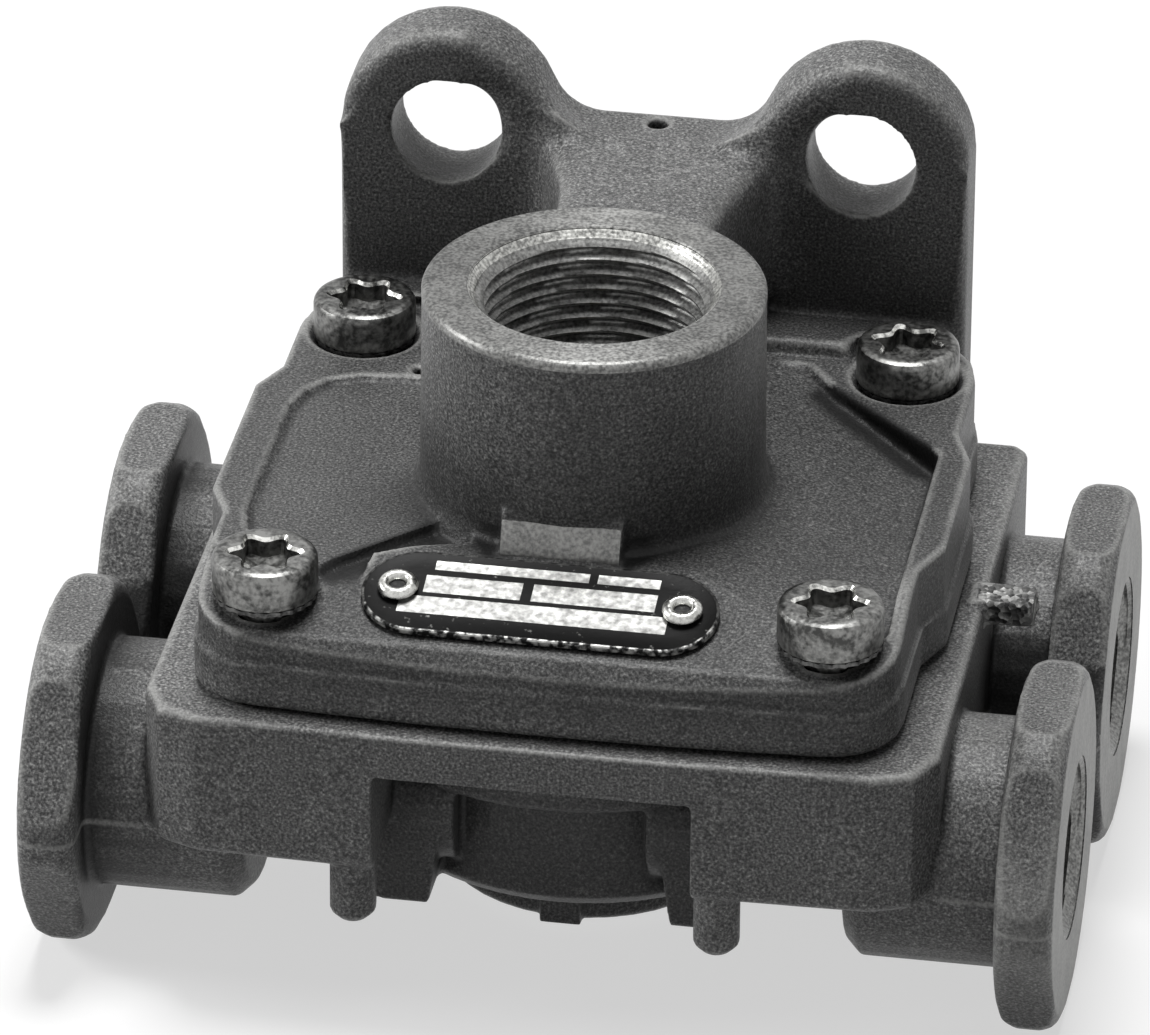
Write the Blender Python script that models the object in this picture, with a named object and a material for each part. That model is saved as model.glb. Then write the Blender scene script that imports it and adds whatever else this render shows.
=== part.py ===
"""Pneumatic quick exhaust valve with one supply port, four delivery ports and two mounting ears.

The frame is metres, +X to the right delivery ports, +Y to the mounting ears, +Z up through the
supply port. While it is built, the origin lies on the supply axis at the height of the delivery
port axes; at the end every part hangs from one empty that centres the whole over the origin and
puts the flats of the hexagonal port flanges on z = 0.
"""
import math

import bmesh
import bpy
import numpy as np
from mathutils import Matrix, Vector

MM = 0.001

# Clearances, mm
GAP = 0.3                 # between parts that touch in the real valve
SLIDE = 0.35              # radial play of a part that slides in another

# Delivery ports, mm
PORT_PITCH = 34.6         # front to rear port axis
PORT_FACE_X = 48.3        # supply axis to the outer face of a port flange
PORT_THREAD_R = 7.2       # minor radius of the M16 x 1.5 thread
PORT_THREAD_DEPTH = 17.0
PORT_PASSAGE_R = 4.3
PORT_CHAMFER = 1.0
HEX_R = 18.1              # centre to the sharp corner of the flange hexagon
HEX_CORNER_R = 2.0
HEX_THICK = 5.5
HEX_TURN_R = 17.15        # the corners are turned down to this radius
HEX_TURN_ROUND = 1.6
NECK_R = 11.7

# Housing, mm
FLANGE_TOP = 14.5
FLANGE_THICK = 4.4
FLANGE_HALF_X = 37.0
FLANGE_HALF_Y = 33.2
FLANGE_CUT = 5.5
FLANGE_REAR_CUT = 1.2
FLANGE_BOW = 0.5
BLOCK_INNER_X = 14.8      # inner end of the two side blocks
BLOCK_BOTTOM = 0.0
TUBE_BOSS_INNER_X = 28.0  # the thick part of a port tube ends here
TUBE_R = 6.2              # thin part of a port tube
TUBE_INNER_X = 9.0
BELLY_R = 25.2            # upper part of the round chamber wall
BELLY_STEP_Z = 3.0
BELLY_LOW_R = 21.6
BELLY_BOTTOM = -9.4
COLLAR_R = 14.4
COLLAR_BOTTOM = -14.8
PIN_X = 17.0
PIN_Y = FLANGE_HALF_Y - 2.4
PIN_R = 2.2
PIN_END = -6.6
RIB_INNER_X = 9.7
RIB_OUTER_X = 15.7
RIB_TAPER = 1.7
RIB_FRONT = 23.4
RIB_END = -9.1
GATE_Z = FLANGE_TOP - 2.1 # broken casting gate at the right end of the flange
GATE_HIGH = 2.6
GATE_OUT = 4.6

# Chamber and seats, mm
CHAMBER_R = 21.5
CHAMBER_STEP_Z = 4.7
CHAMBER_LOW_R = 19.4
CHAMBER_FLOOR = -4.9
SEAT_OUTER_R = 10.5
SEAT_INNER_R = 8.0
EXHAUST_THREAD_R = 10.2
EXHAUST_SHOULDER = -5.0
HUB_R = 4.2
HUB_TOP = 3.0
HUB_BOTTOM = -4.6
ARM_HALF = 1.1
ARM_TOP = 1.6
SEAL_R = 25.0
SEAL_SECTION_R = 0.85

# Moving parts, mm
INLET_SEAT_Z = 17.6
DIAPHRAGM_R = 16.0
DIAPHRAGM_THICK = 2.4
DIAPHRAGM_LIFT = 1.8
STEM_R = 2.2
STEM_END = 0.9
PLATE_R = 6.6
PLATE_THICK = 1.1
SPRING_R = 3.9
SPRING_WIRE_R = 0.4
SPRING_TURNS = 5.5
FLAP_R = 9.5
FLAP_THICK = 1.2
FLAP_TRAVEL = 1.0
FLAP_WASHER_R = 4.6
FLAP_WASHER_THICK = 0.8
FLAP_PIN_R = 1.3

# Cover, mm
COVER_HALF_X = 33.0
COVER_FRONT_Y = 31.0
COVER_BOW = 0.9           # how far the front swells at its middle
COVER_SIDE_BUMP = 1.8
COVER_CORNER_R = 6.8
COVER_STEP_Z = 19.4
COVER_STEP = 0.4
COVER_TOP = 25.4
LEFT_PANEL_Z = 24.8
DIP_Z = 23.9              # low field between the left panel and the name plate
APRON_TOP_Z = 25.4        # sloping front field beside the boss
APRON_TOP_Y = -17.3
APRON_SLOPE = 0.245
RIGHT_TOP_Z = 24.9
RIGHT_SLOPE = 0.145
CAVITY_TOP = 21.0
SUPPLY_PASSAGE_R = 8.4

# Supply port boss, mm
BOSS_R = 16.0
BOSS_TOP = 45.3
BOSS_FOOT = 1.2
BOSS_THREAD_R = 10.2      # minor radius of the M22 x 1.5 thread
BOSS_THREAD_DEPTH = 16.0
BOSS_CHAMFER = 1.6

# Mounting ears, mm
EAR_PITCH = 40.0
EAR_R = 10.3
EAR_Z = 42.9
EAR_HOLE_R = 5.3
EAR_FRONT_Y = 33.0
EAR_THICK = 7.0
EAR_ROUND = 1.6
WEB_TOP = 43.4
WEB_FILLET = 5.0
LEDGE_Z = 26.7
LEDGE_Y = 26.9

# Cover screws and washers, mm
SCREW_X = COVER_HALF_X - 6.8
SCREW_FRONT_Y = -COVER_FRONT_Y + 5.8
SCREW_REAR_Y = 24.2
SEAT_FRONT_Z = 23.5
SEAT_REAR_Z = 24.6
SCREW_R = 3.0
SCREW_END = 6.2
SCREW_HEAD_R = 4.9
SCREW_HEAD_H = 3.6
WASHER_R = 5.05
WASHER_THICK = 0.45

# Name plate, mm
PLATE_LENGTH = 33.2
PLATE_WIDTH = 10.7
PLATE_X = -0.85
PLATE_SET = 0.95          # from the top of the apron to the plate
PLATE_SHEET = 0.6
RIVET_X = PLATE_LENGTH / 2 - 3.4
RIVET_R = 1.9
RIVET_PIN_R = 0.9

MATERIALS = {
    "cast_aluminium": ((0.16, 0.16, 0.165), 0.55, 0.55),
    "zinc_plated_steel": ((0.55, 0.55, 0.54), 1.0, 0.32),
    "phosphated_steel": ((0.05, 0.05, 0.05), 0.8, 0.55),
    "anodised_sheet": ((0.03, 0.03, 0.03), 0.4, 0.4),
    "drawn_aluminium": ((0.6, 0.6, 0.6), 1.0, 0.3),
    "moulded_rubber": ((0.02, 0.02, 0.022), 0.0, 0.7),
    "seal_rubber": ((0.03, 0.03, 0.03), 0.0, 0.5),
    "turned_brass": ((0.5, 0.36, 0.14), 1.0, 0.35),
    "spring_steel": ((0.3, 0.3, 0.31), 1.0, 0.35),
}


def clear_scene():
    """Removes everything that the empty file starts with."""
    for item in list(bpy.data.objects):
        bpy.data.objects.remove(item, do_unlink=True)
    for mesh in list(bpy.data.meshes):
        bpy.data.meshes.remove(mesh)


def material(name):
    """Returns the named material, made on first use."""
    found = bpy.data.materials.get(name)
    if found:
        return found
    colour, metallic, roughness = MATERIALS[name]
    made = bpy.data.materials.new(name)
    made.use_nodes = True
    shader = made.node_tree.nodes["Principled BSDF"]
    shader.inputs["Base Color"].default_value = (*colour, 1.0)
    shader.inputs["Metallic"].default_value = metallic
    shader.inputs["Roughness"].default_value = roughness
    made.diffuse_color = (*colour, 1.0)
    return made


def add_object(name, bm):
    """Turns a bmesh in millimetres into an object."""
    bmesh.ops.recalc_face_normals(bm, faces=bm.faces)
    mesh = bpy.data.meshes.new(name)
    bm.to_mesh(mesh)
    bm.free()
    made = bpy.data.objects.new(name, mesh)
    bpy.context.scene.collection.objects.link(made)
    return made


def prism(name, outline, z0, z1, round_top=0.0, round_bottom=0.0, steps=2):
    """Extrudes a plan outline from z0 to z1, with rounded rims if asked."""
    bm = bmesh.new()
    low = [bm.verts.new((x, y, z0)) for x, y in outline]
    high = [bm.verts.new((x, y, z1)) for x, y in outline]
    bottom = bm.faces.new(low[::-1])
    top = bm.faces.new(high)
    count = len(outline)
    for i in range(count):
        j = (i + 1) % count
        bm.faces.new((low[i], low[j], high[j], high[i]))
    for face, size in ((top, round_top), (bottom, round_bottom)):
        if size > 0:
            bmesh.ops.bevel(bm, geom=list(face.edges), offset=size, segments=steps,
                            profile=0.5, affect="EDGES", clamp_overlap=True)
    return add_object(name, bm)


def solid_from(name, low, high):
    """Builds a prism from matching rings of 3-D points."""
    bm = bmesh.new()
    a = [bm.verts.new(p) for p in low]
    b = [bm.verts.new(p) for p in high]
    bm.faces.new(a[::-1])
    bm.faces.new(b)
    for i in range(len(a)):
        j = (i + 1) % len(a)
        bm.faces.new((a[i], a[j], b[j], b[i]))
    return add_object(name, bm)


def turned(name, profile, segments=48, axis="Z", centre=(0.0, 0.0, 0.0), sign=1.0):
    """Turns a closed profile of (radius, height) points about an axis through the centre."""
    bm = bmesh.new()
    rings = []
    for radius, height in profile:
        if radius < 1e-6:
            rings.append([bm.verts.new((0, 0, height))])
            continue
        rings.append([bm.verts.new((radius * math.cos(2 * math.pi * k / segments),
                                    radius * math.sin(2 * math.pi * k / segments), height))
                      for k in range(segments)])
    for i, ring in enumerate(rings):
        other = rings[(i + 1) % len(rings)]
        if len(ring) == 1 and len(other) == 1:
            continue
        for k in range(segments):
            j = (k + 1) % segments
            corners = []
            for item in (ring[k % len(ring)], ring[j % len(ring)],
                         other[j % len(other)], other[k % len(other)]):
                if item not in corners:
                    corners.append(item)
            bm.faces.new(corners)
    if axis == "X":
        turn = Matrix.Rotation(math.radians(90.0 * sign), 4, "Y")
        bmesh.ops.transform(bm, matrix=turn, verts=bm.verts)
    elif axis == "Y":
        turn = Matrix.Rotation(math.radians(-90.0 * sign), 4, "X")
        bmesh.ops.transform(bm, matrix=turn, verts=bm.verts)
    bmesh.ops.translate(bm, vec=centre, verts=bm.verts)
    return add_object(name, bm)


def box(name, x0, x1, y0, y1, z0, z1):
    """Makes a block from its limits."""
    return prism(name, [(x0, y0), (x1, y0), (x1, y1), (x0, y1)], z0, z1)


def combine(target, others, operation):
    """Joins or cuts the target with each other object and drops those objects."""
    for other in others:
        step = target.modifiers.new("step", "BOOLEAN")
        step.operation = operation
        step.solver = "EXACT"
        step.object = other
        graph = bpy.context.evaluated_depsgraph_get()
        mesh = bpy.data.meshes.new_from_object(target.evaluated_get(graph))
        target.modifiers.remove(step)
        bm = bmesh.new()
        bm.from_mesh(mesh)
        bmesh.ops.remove_doubles(bm, verts=bm.verts, dist=0.002)
        bmesh.ops.dissolve_degenerate(bm, edges=bm.edges, dist=0.001)
        bm.to_mesh(mesh)
        bm.free()
        old = target.data
        target.data = mesh
        mesh.name = target.name
        bpy.data.meshes.remove(old)
        bpy.data.objects.remove(other, do_unlink=True)
    return target


def join(target, *others):
    """Unites solids."""
    return combine(target, others, "UNION")


def cut(target, *others):
    """Takes solids away."""
    return combine(target, others, "DIFFERENCE")


def arc(cx, cy, radius, start, end, steps):
    """Returns points along an arc, angles in degrees."""
    return [(cx + radius * math.cos(math.radians(a)), cy + radius * math.sin(math.radians(a)))
            for a in np.linspace(start, end, steps)]


def hexagon(radius, corner, steps=5):
    """Returns a hexagon with rounded corners, a corner on each side of the first axis."""
    points = []
    inner = radius - corner / math.cos(math.radians(30))
    for k in range(6):
        a = 60.0 * k
        points += arc(inner * math.cos(math.radians(a)), inner * math.sin(math.radians(a)),
                      corner, a - 30, a + 30, steps)
    return points


def cover_outline(inset=0.0, rear=EAR_FRONT_Y + 1.0):
    """Plan outline of the cover plate, swelling at its front and sides."""
    hx = COVER_HALF_X - inset
    front = COVER_FRONT_Y - inset
    r = COVER_CORNER_R - inset
    bump = COVER_SIDE_BUMP
    points = arc(-hx + r, -front + r, r, 180, 270, 6)
    for s in np.linspace(-0.75, 0.75, 7):
        points.append((s * (hx - r), -front - COVER_BOW * (1 - s * s)))
    points += arc(hx - r, -front + r, r, -90, 0, 6)
    points += [(hx, -13.0), (hx + bump, -8.5), (hx + bump, 9.0), (hx, 14.0)]
    points += [(hx, rear - 9.0), (hx - 0.8, rear - 5.5), (hx - 2.9, rear - 2.5), (hx - 3.4, rear)]
    points += [(-hx + 3.4, rear), (-hx + 2.9, rear - 2.5), (-hx + 0.8, rear - 5.5),
               (-hx, rear - 9.0)]
    points += [(-hx, 16.0), (-hx - bump, 12.0), (-hx - bump, -9.0), (-hx, -13.0)]
    return points


def flange_outline():
    """Plan outline of the housing flange: cut front corners and a slightly bowed front."""
    hx = FLANGE_HALF_X
    hy = FLANGE_HALF_Y
    c = FLANGE_CUT
    r = FLANGE_REAR_CUT
    front = [(hx - c, -hy), (hx - 0.35 * c, -hy + 0.25 * c), (hx, -hy + c)]
    points = [(-x, y) for x, y in front[::-1]]
    points += [(-12.0, -hy - FLANGE_BOW), (12.0, -hy - FLANGE_BOW)]
    points += front
    points += [(hx, hy - r), (hx - r, hy), (-hx + r, hy), (-hx, hy - r)]
    return points


def port_places():
    """The four delivery ports as (side, y)."""
    return [(side, y) for side in (-1, 1) for y in (-PORT_PITCH / 2, PORT_PITCH / 2)]


def screw_places():
    """The four cover screws as (x, y, seat height)."""
    return [(-SCREW_X, SCREW_FRONT_Y, SEAT_FRONT_Z), (SCREW_X, SCREW_FRONT_Y, SEAT_FRONT_Z),
            (-SCREW_X, SCREW_REAR_Y, SEAT_REAR_Z), (SCREW_X, SCREW_REAR_Y, SEAT_REAR_Z)]


def port_flange(name, side, y):
    """One hexagonal port flange across the X axis, its corners turned down and rounded."""
    outline = hexagon(HEX_R, HEX_CORNER_R, 3)
    x1 = side * PORT_FACE_X
    x0 = side * (PORT_FACE_X - HEX_THICK)
    flange = solid_from(name, [(x0, y + p[0], p[1]) for p in outline],
                        [(x1, y + p[0], p[1]) for p in outline])
    r = HEX_TURN_ROUND
    profile = [(0, 0)]
    for end, start in ((r, -90), (HEX_THICK - r, 0)):
        profile += arc(HEX_TURN_R - r, end, r, start, start + 90, 3)
    profile.append((0, HEX_THICK))
    button = turned("button", profile, 36, "X", (side * (PORT_FACE_X - HEX_THICK), y, 0), side)
    return combine(flange, [button], "INTERSECT")


def rib(side, end):
    """One tapered rib below the chamber wall, beside a side block."""
    face = [(14.0, BELLY_STEP_Z + 0.2), (BELLY_LOW_R + 0.2, BELLY_STEP_Z + 0.2),
            (RIB_FRONT, BELLY_STEP_Z - 1.4), (RIB_FRONT, RIB_END + 0.5), (RIB_FRONT - 0.5, RIB_END),
            (14.0, RIB_END)]
    span = BELLY_STEP_Z - RIB_END
    inner = [(side * (RIB_INNER_X + RIB_TAPER * (BELLY_STEP_Z - z) / span), end * y, z)
             for y, z in face]
    outer = [(side * RIB_OUTER_X, end * y, z) for y, z in face]
    return solid_from("rib", inner, outer)


def build_housing():
    """Lower casting: flange, side blocks, port tubes with hexagons, chamber and exhaust seat."""
    body = prism("lower_housing", flange_outline(), BLOCK_BOTTOM, FLANGE_TOP,
                 round_top=0.5, round_bottom=0.8, steps=1)
    under = FLANGE_TOP - FLANGE_THICK
    for end in (-1, 1):
        y0, y1 = sorted((end * 10.0, end * (FLANGE_HALF_Y + 5)))
        cut(body, box("recess", -BLOCK_INNER_X, BLOCK_INNER_X, y0, y1, BLOCK_BOTTOM - 5, under))
    parts = [turned("belly", [(0, BELLY_BOTTOM), (BELLY_LOW_R - 1.5, BELLY_BOTTOM),
                              (BELLY_LOW_R, BELLY_BOTTOM + 1.5), (BELLY_LOW_R, BELLY_STEP_Z - 0.5),
                              (BELLY_R - 0.6, BELLY_STEP_Z), (BELLY_R, BELLY_STEP_Z + 0.6),
                              (BELLY_R, FLANGE_TOP - 1), (0, FLANGE_TOP - 1)], 48)]
    for side in (-1, 1):
        for end in (-1, 1):
            parts.append(turned("pin", [(0, PIN_END), (PIN_R - 1.0, PIN_END + 0.2),
                                        (PIN_R, PIN_END + 1.2), (PIN_R, 9.0), (0, 9.0)], 16,
                                centre=(side * PIN_X, end * PIN_Y, 0)))
            parts.append(rib(side, end))
    for side, y in port_places():
        length = PORT_FACE_X - 2.0
        parts.append(turned("tube_boss", [(0, TUBE_BOSS_INNER_X), (NECK_R - 1.5, TUBE_BOSS_INNER_X),
                                          (NECK_R, TUBE_BOSS_INNER_X + 1.5), (NECK_R, length),
                                          (0, length)], 32, "X", (0, y, 0), side))
        parts.append(turned("tube", [(0, TUBE_INNER_X), (TUBE_R, TUBE_INNER_X),
                                     (TUBE_R, TUBE_BOSS_INNER_X + 2), (0, TUBE_BOSS_INNER_X + 2)],
                            24, "X", (0, y, 0), side))
        parts.append(port_flange("hexagon", side, y))
    parts.append(turned("collar", [(0, COLLAR_BOTTOM), (COLLAR_R - 0.7, COLLAR_BOTTOM),
                                   (COLLAR_R, COLLAR_BOTTOM + 0.7), (COLLAR_R, 0), (0, 0)], 40))
    parts.append(box("nib", -2.2, 1.8, -COLLAR_R - 1.2, -8.0, COLLAR_BOTTOM + 0.25, -5.0))
    parts.append(box("gate", FLANGE_HALF_X - 1.5, FLANGE_HALF_X + GATE_OUT, 0.8, 4.7, GATE_Z,
                     GATE_Z + GATE_HIGH))
    join(body, *parts)
    tools = [turned("chamber", [(SEAT_OUTER_R, CHAMBER_FLOOR), (CHAMBER_LOW_R, CHAMBER_FLOOR),
                                (CHAMBER_LOW_R, CHAMBER_STEP_Z), (CHAMBER_R, CHAMBER_STEP_Z + 0.8),
                                (CHAMBER_R, FLANGE_TOP + 2), (0, FLANGE_TOP + 2),
                                (0, seat_top()), (SEAT_OUTER_R - 0.8, seat_top()),
                                (SEAT_OUTER_R, seat_top() - 0.8)], 48)]
    bore = turned("bore", [(0, COLLAR_BOTTOM - 2), (EXHAUST_THREAD_R + 1.3 + 2, COLLAR_BOTTOM - 2),
                           (EXHAUST_THREAD_R, COLLAR_BOTTOM + 1.3),
                           (EXHAUST_THREAD_R, EXHAUST_SHOULDER), (SEAT_INNER_R, EXHAUST_SHOULDER),
                           (SEAT_INNER_R, FLANGE_TOP + 2), (0, FLANGE_TOP + 2)], 40)
    spider = turned("spider", [(0, HUB_BOTTOM), (HUB_R, HUB_BOTTOM), (HUB_R, HUB_TOP),
                               (0, HUB_TOP)], 24)
    for k in range(3):
        arm = box("arm", 0, SEAT_INNER_R + 1, -ARM_HALF, ARM_HALF, HUB_BOTTOM, ARM_TOP)
        arm.data.transform(Matrix.Rotation(math.radians(30 + 120 * k), 4, "Z"))
        join(spider, arm)
    cut(bore, spider)
    tools.append(bore)
    tools.append(turned("guide", [(0, STEM_END - 2.1), (STEM_R + SLIDE, STEM_END - 2.1),
                                (STEM_R + SLIDE, HUB_TOP + 1),
                                  (0, HUB_TOP + 1)], 24))
    tools.append(turned("pin_hole", [(0, HUB_BOTTOM - 1), (FLAP_PIN_R + GAP, HUB_BOTTOM - 1),
                                     (FLAP_PIN_R + GAP, -1.9), (0, -1.9)], 24))
    tools.append(turned("groove", [(SEAL_R - 1.2, FLANGE_TOP - 1.9), (SEAL_R + 1.2, FLANGE_TOP - 1.9),
                                   (SEAL_R + 1.2, FLANGE_TOP + 1), (SEAL_R - 1.2, FLANGE_TOP + 1)],
                        48))
    for side, y in port_places():
        end = PORT_FACE_X - PORT_THREAD_DEPTH
        r = PORT_THREAD_R
        tools.append(turned("port", [(0, 10.5), (PORT_PASSAGE_R, 10.5), (PORT_PASSAGE_R, end - 1.6),
                                     (r, end), (r, PORT_FACE_X - PORT_CHAMFER),
                                     (r + PORT_CHAMFER + 1, PORT_FACE_X + 1), (0, PORT_FACE_X + 1)],
                            32, "X", (0, y, 0), side))
    for x, y, _ in screw_places():
        tools.append(turned("tap", [(0, SCREW_END - 1.0), (SCREW_R + GAP, SCREW_END - 0.2),
                                    (SCREW_R + GAP, FLANGE_TOP + 1), (0, FLANGE_TOP + 1)], 20,
                            centre=(x, y, 0)))
    for side in (-1, 1):
        x0, x1 = sorted((side * 27.5, side * 33.5))
        tools.append(box("pocket", x0, x1, -4.0, 4.0, BLOCK_BOTTOM - 9, 9.0))
    cut(body, *tools)
    return body


def seat_top():
    """Height of the exhaust seat that the diaphragm closes."""
    return INLET_SEAT_Z - GAP - DIAPHRAGM_THICK - DIAPHRAGM_LIFT - GAP


def ear_outline():
    """Outline of the ear plate in X and Z, ears and web with concave fillets between them."""
    half = EAR_PITCH / 2
    fz = WEB_TOP + WEB_FILLET
    dz = fz - EAR_Z
    dx = math.sqrt((EAR_R + WEB_FILLET) ** 2 - dz ** 2)
    turn = math.degrees(math.atan2(dz, dx))
    fx = -half + dx
    bottom = FLANGE_TOP + GAP
    left = [(-half - EAR_R, bottom + 2)]
    left += arc(-half, EAR_Z, EAR_R, 180, turn, 15)
    left += arc(fx, fz, WEB_FILLET, 180 + turn, 270, 6)[1:]
    right = [(-x, z) for x, z in left[::-1]]
    return left + right + [(half + EAR_R - 2, bottom), (-half - EAR_R + 2, bottom)]


def ear_plate():
    """Upright plate with both ears and their rounded rims."""
    plate = prism("ears", ear_outline(), -EAR_FRONT_Y - EAR_THICK, -EAR_FRONT_Y,
                  round_top=EAR_ROUND, round_bottom=0.8, steps=3)
    plate.data.transform(Matrix.Rotation(math.radians(90), 4, "X"))
    return plate


def sloped_cutter(name, outline, z_of, top=60.0):
    """Cutter above a sloping plane, bounded by a plan outline."""
    low = [(x, y, z_of(x, y)) for x, y in outline]
    high = [(x, y, top) for x, y in outline]
    return solid_from(name, low, high)


def apron_height(_x, y):
    """Height of the sloping front field of the cover."""
    return APRON_TOP_Z - APRON_SLOPE * (APRON_TOP_Y - y)


def right_height(x, _y):
    """Height of the sloping right field of the cover."""
    return RIGHT_TOP_Z - RIGHT_SLOPE * (x - BOSS_R)


def build_cover():
    """Cover casting: plate with fields and pads, supply boss, web and mounting ears."""
    bottom = FLANGE_TOP + GAP
    cover = prism("cover", cover_outline(), bottom, COVER_STEP_Z, round_top=0.35, round_bottom=0.5,
                  steps=1)
    upper = prism("upper", cover_outline(COVER_STEP), COVER_STEP_Z - 1, COVER_TOP)
    front = [(-40, -19.8), (-22.3, -19.8), (-12.3, -9.5), (0, -6), (19.4, -6), (31.2, -6.5),
             (40, -10), (40, -40), (-40, -40)]
    cut(upper, sloped_cutter("front_field", front, apron_height))
    edge_x = COVER_HALF_X - 1.8
    right = [(5, -23.0), (edge_x, -23.0), (edge_x, 9.8), (edge_x - 1.2, 11.0),
             (edge_x - 11.4, 20.6), (edge_x - 14.7, 25.2), (5, 25.2)]
    cut(upper, sloped_cutter("right_field", right, right_height))
    edge_x = -COVER_HALF_X + 2.6
    left = [(edge_x, -12.5), (edge_x + 0.8, -16.0), (edge_x + 3.4, -18.6), (-24.0, -19.7),
            (-21.7, -20.6), (-12.9, -11.3), (-12.6, -8.6), (-6, -6), (-6, 15.8), (-20, 15.8),
            (edge_x + 5.6, 15.3), (edge_x + 2.7, 13.9), (edge_x + 0.9, 11.4), (edge_x, 8.0)]
    cut(upper, sloped_cutter("left_field", left, lambda _x, _y: LEFT_PANEL_Z))
    dip = [(-22.7, -23.0), (-17.9, -23.0), (-17.6, -18.4), (-13.8, -16.4), (-9.0, -15.0),
           (-9.0, -8.0), (-12.5, -8.5), (-12.8, -11.2), (-21.6, -20.5)]
    cut(upper, sloped_cutter("front_dip", dip, lambda _x, _y: DIP_Z))
    edge = [(-40, -40), (40, -40), (40, -COVER_FRONT_Y + 1.6), (-40, -COVER_FRONT_Y + 1.6)]
    cut(upper, sloped_cutter("front_edge", edge, lambda _x, y: y + COVER_FRONT_Y + 21.2))
    join(cover, upper)
    rear = LEDGE_Y + 0.8
    ledge = [(-COVER_HALF_X + 4.0, EAR_FRONT_Y + 1), (-COVER_HALF_X + 4.0, rear + 2.4),
             (-20.3, rear + 2.4), (-19.5, LEDGE_Y), (20.0, LEDGE_Y), (20.8, rear + 2.4),
             (COVER_HALF_X - 4.0, rear + 2.4), (COVER_HALF_X - 4.0, EAR_FRONT_Y + 1)]
    join(cover, prism("ledge", ledge, COVER_TOP - 3, LEDGE_Z, round_top=0.6, steps=1))
    join(cover, ear_plate())
    foot = COVER_TOP - 4
    join(cover, turned("boss", [(0, foot), (BOSS_R + 2.0, foot), (BOSS_R + BOSS_FOOT, COVER_TOP - 1.6),
                                (BOSS_R + 0.45, COVER_TOP + 0.0), (BOSS_R + 0.15, COVER_TOP + 1.2),
                                (BOSS_R, BOSS_TOP - 0.6), (BOSS_R - 0.6, BOSS_TOP), (0, BOSS_TOP)],
                       56))
    web = [(-6.6, 12.0), (7.6, 12.0), (9.2, 24.0), (11.6, EAR_FRONT_Y + 0.2),
           (11.6, EAR_FRONT_Y + 2.2), (-10.8, EAR_FRONT_Y + 2.2), (-10.8, EAR_FRONT_Y + 0.2),
           (-7.4, 24.0)]
    join(cover, prism("web", web, foot, WEB_TOP - 0.1, round_top=0.8, steps=2))
    side = [(-BOSS_R + 1.2, 23.0), (-BOSS_R - 1.35, 23.0), (-BOSS_R - 1.35, 25.6),
            (-BOSS_R + 0.4, 29.2), (-BOSS_R + 1.2, 29.2)]
    patch = solid_from("patch", [(-5.9, y, z) for y, z in side], [(5.5, y, z) for y, z in side])
    join(cover, patch)
    tools = []
    for x, y, seat in screw_places():
        tools.append(turned("spot", [(0, seat), (WASHER_R + 0.2, seat), (WASHER_R + 0.4, seat + 9),
                                     (0, seat + 9)], 32, centre=(x, y, 0)))
    thread_end = BOSS_TOP - BOSS_THREAD_DEPTH
    tools.append(turned("supply", [(0, CAVITY_TOP - 4), (SUPPLY_PASSAGE_R, CAVITY_TOP - 4),
                                   (SUPPLY_PASSAGE_R, thread_end - 1.5), (BOSS_THREAD_R, thread_end),
                                   (BOSS_THREAD_R, BOSS_TOP - BOSS_CHAMFER),
                                   (BOSS_THREAD_R + BOSS_CHAMFER + 1, BOSS_TOP + 1),
                                   (0, BOSS_TOP + 1)], 48))
    tools.append(turned("cavity", [(0, bottom - 2), (CHAMBER_R, bottom - 2),
                                   (CHAMBER_R, CAVITY_TOP - 1.5), (CHAMBER_R - 1.5, CAVITY_TOP),
                                   (SUPPLY_PASSAGE_R + 2.3, CAVITY_TOP),
                                   (SUPPLY_PASSAGE_R + 1.9, INLET_SEAT_Z), (0, INLET_SEAT_Z)], 48))
    for s in (-1, 1):
        tools.append(turned("ear_hole", [(0, -EAR_THICK), (EAR_HOLE_R, -EAR_THICK),
                                         (EAR_HOLE_R, EAR_THICK), (0, EAR_THICK)], 32, "Y",
                            (s * EAR_PITCH / 2, EAR_FRONT_Y + EAR_THICK / 2, EAR_Z)))
    for x, y, _ in screw_places():
        tools.append(turned("clear", [(0, bottom - 1), (SCREW_R + GAP, bottom - 1),
                                      (SCREW_R + GAP, COVER_TOP + 3), (0, COVER_TOP + 3)], 24,
                            centre=(x, y, 0)))
    tools.append(turned("mark", [(0, WEB_TOP - 2.0), (1.0, WEB_TOP - 2.0), (1.0, WEB_TOP + 1),
                                 (0, WEB_TOP + 1)], 16, centre=(-0.2, 37.6, 0)))
    tools.append(turned("mark", [(0, COVER_TOP - 2.0), (0.7, COVER_TOP - 2.0),
                                 (0.7, COVER_TOP + 1), (0, COVER_TOP + 1)], 12,
                        centre=(-19.6, 17.4, 0)))
    for x in (-RIVET_X, RIVET_X):
        mid = plate_middle()
        tools.append(turned("rivet_hole", [(0, -3.0), (RIVET_PIN_R + GAP, -3.0),
                                           (RIVET_PIN_R + GAP, 3.0), (0, 3.0)], 16))
        place_on_apron(tools[-1], PLATE_X + x, mid)
    cut(cover, *tools)
    return cover


def apron_matrix(x, y, lift=0.0):
    """Frame on the sloping front field, its third axis square to the field."""
    tilt = Matrix.Rotation(math.atan(APRON_SLOPE), 4, "X")
    spot = Matrix.Translation(Vector((x, y, apron_height(x, y))))
    return spot @ tilt @ Matrix.Translation(Vector((0, 0, lift)))


def plate_middle():
    """Where the middle line of the name plate lies along Y."""
    return APRON_TOP_Y - PLATE_SET - PLATE_WIDTH / 2


def place_on_apron(item, x, y, lift=0.0):
    """Moves a mesh made about the origin on to the sloping front field."""
    item.data.transform(apron_matrix(x, y, lift))
    return item


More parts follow.
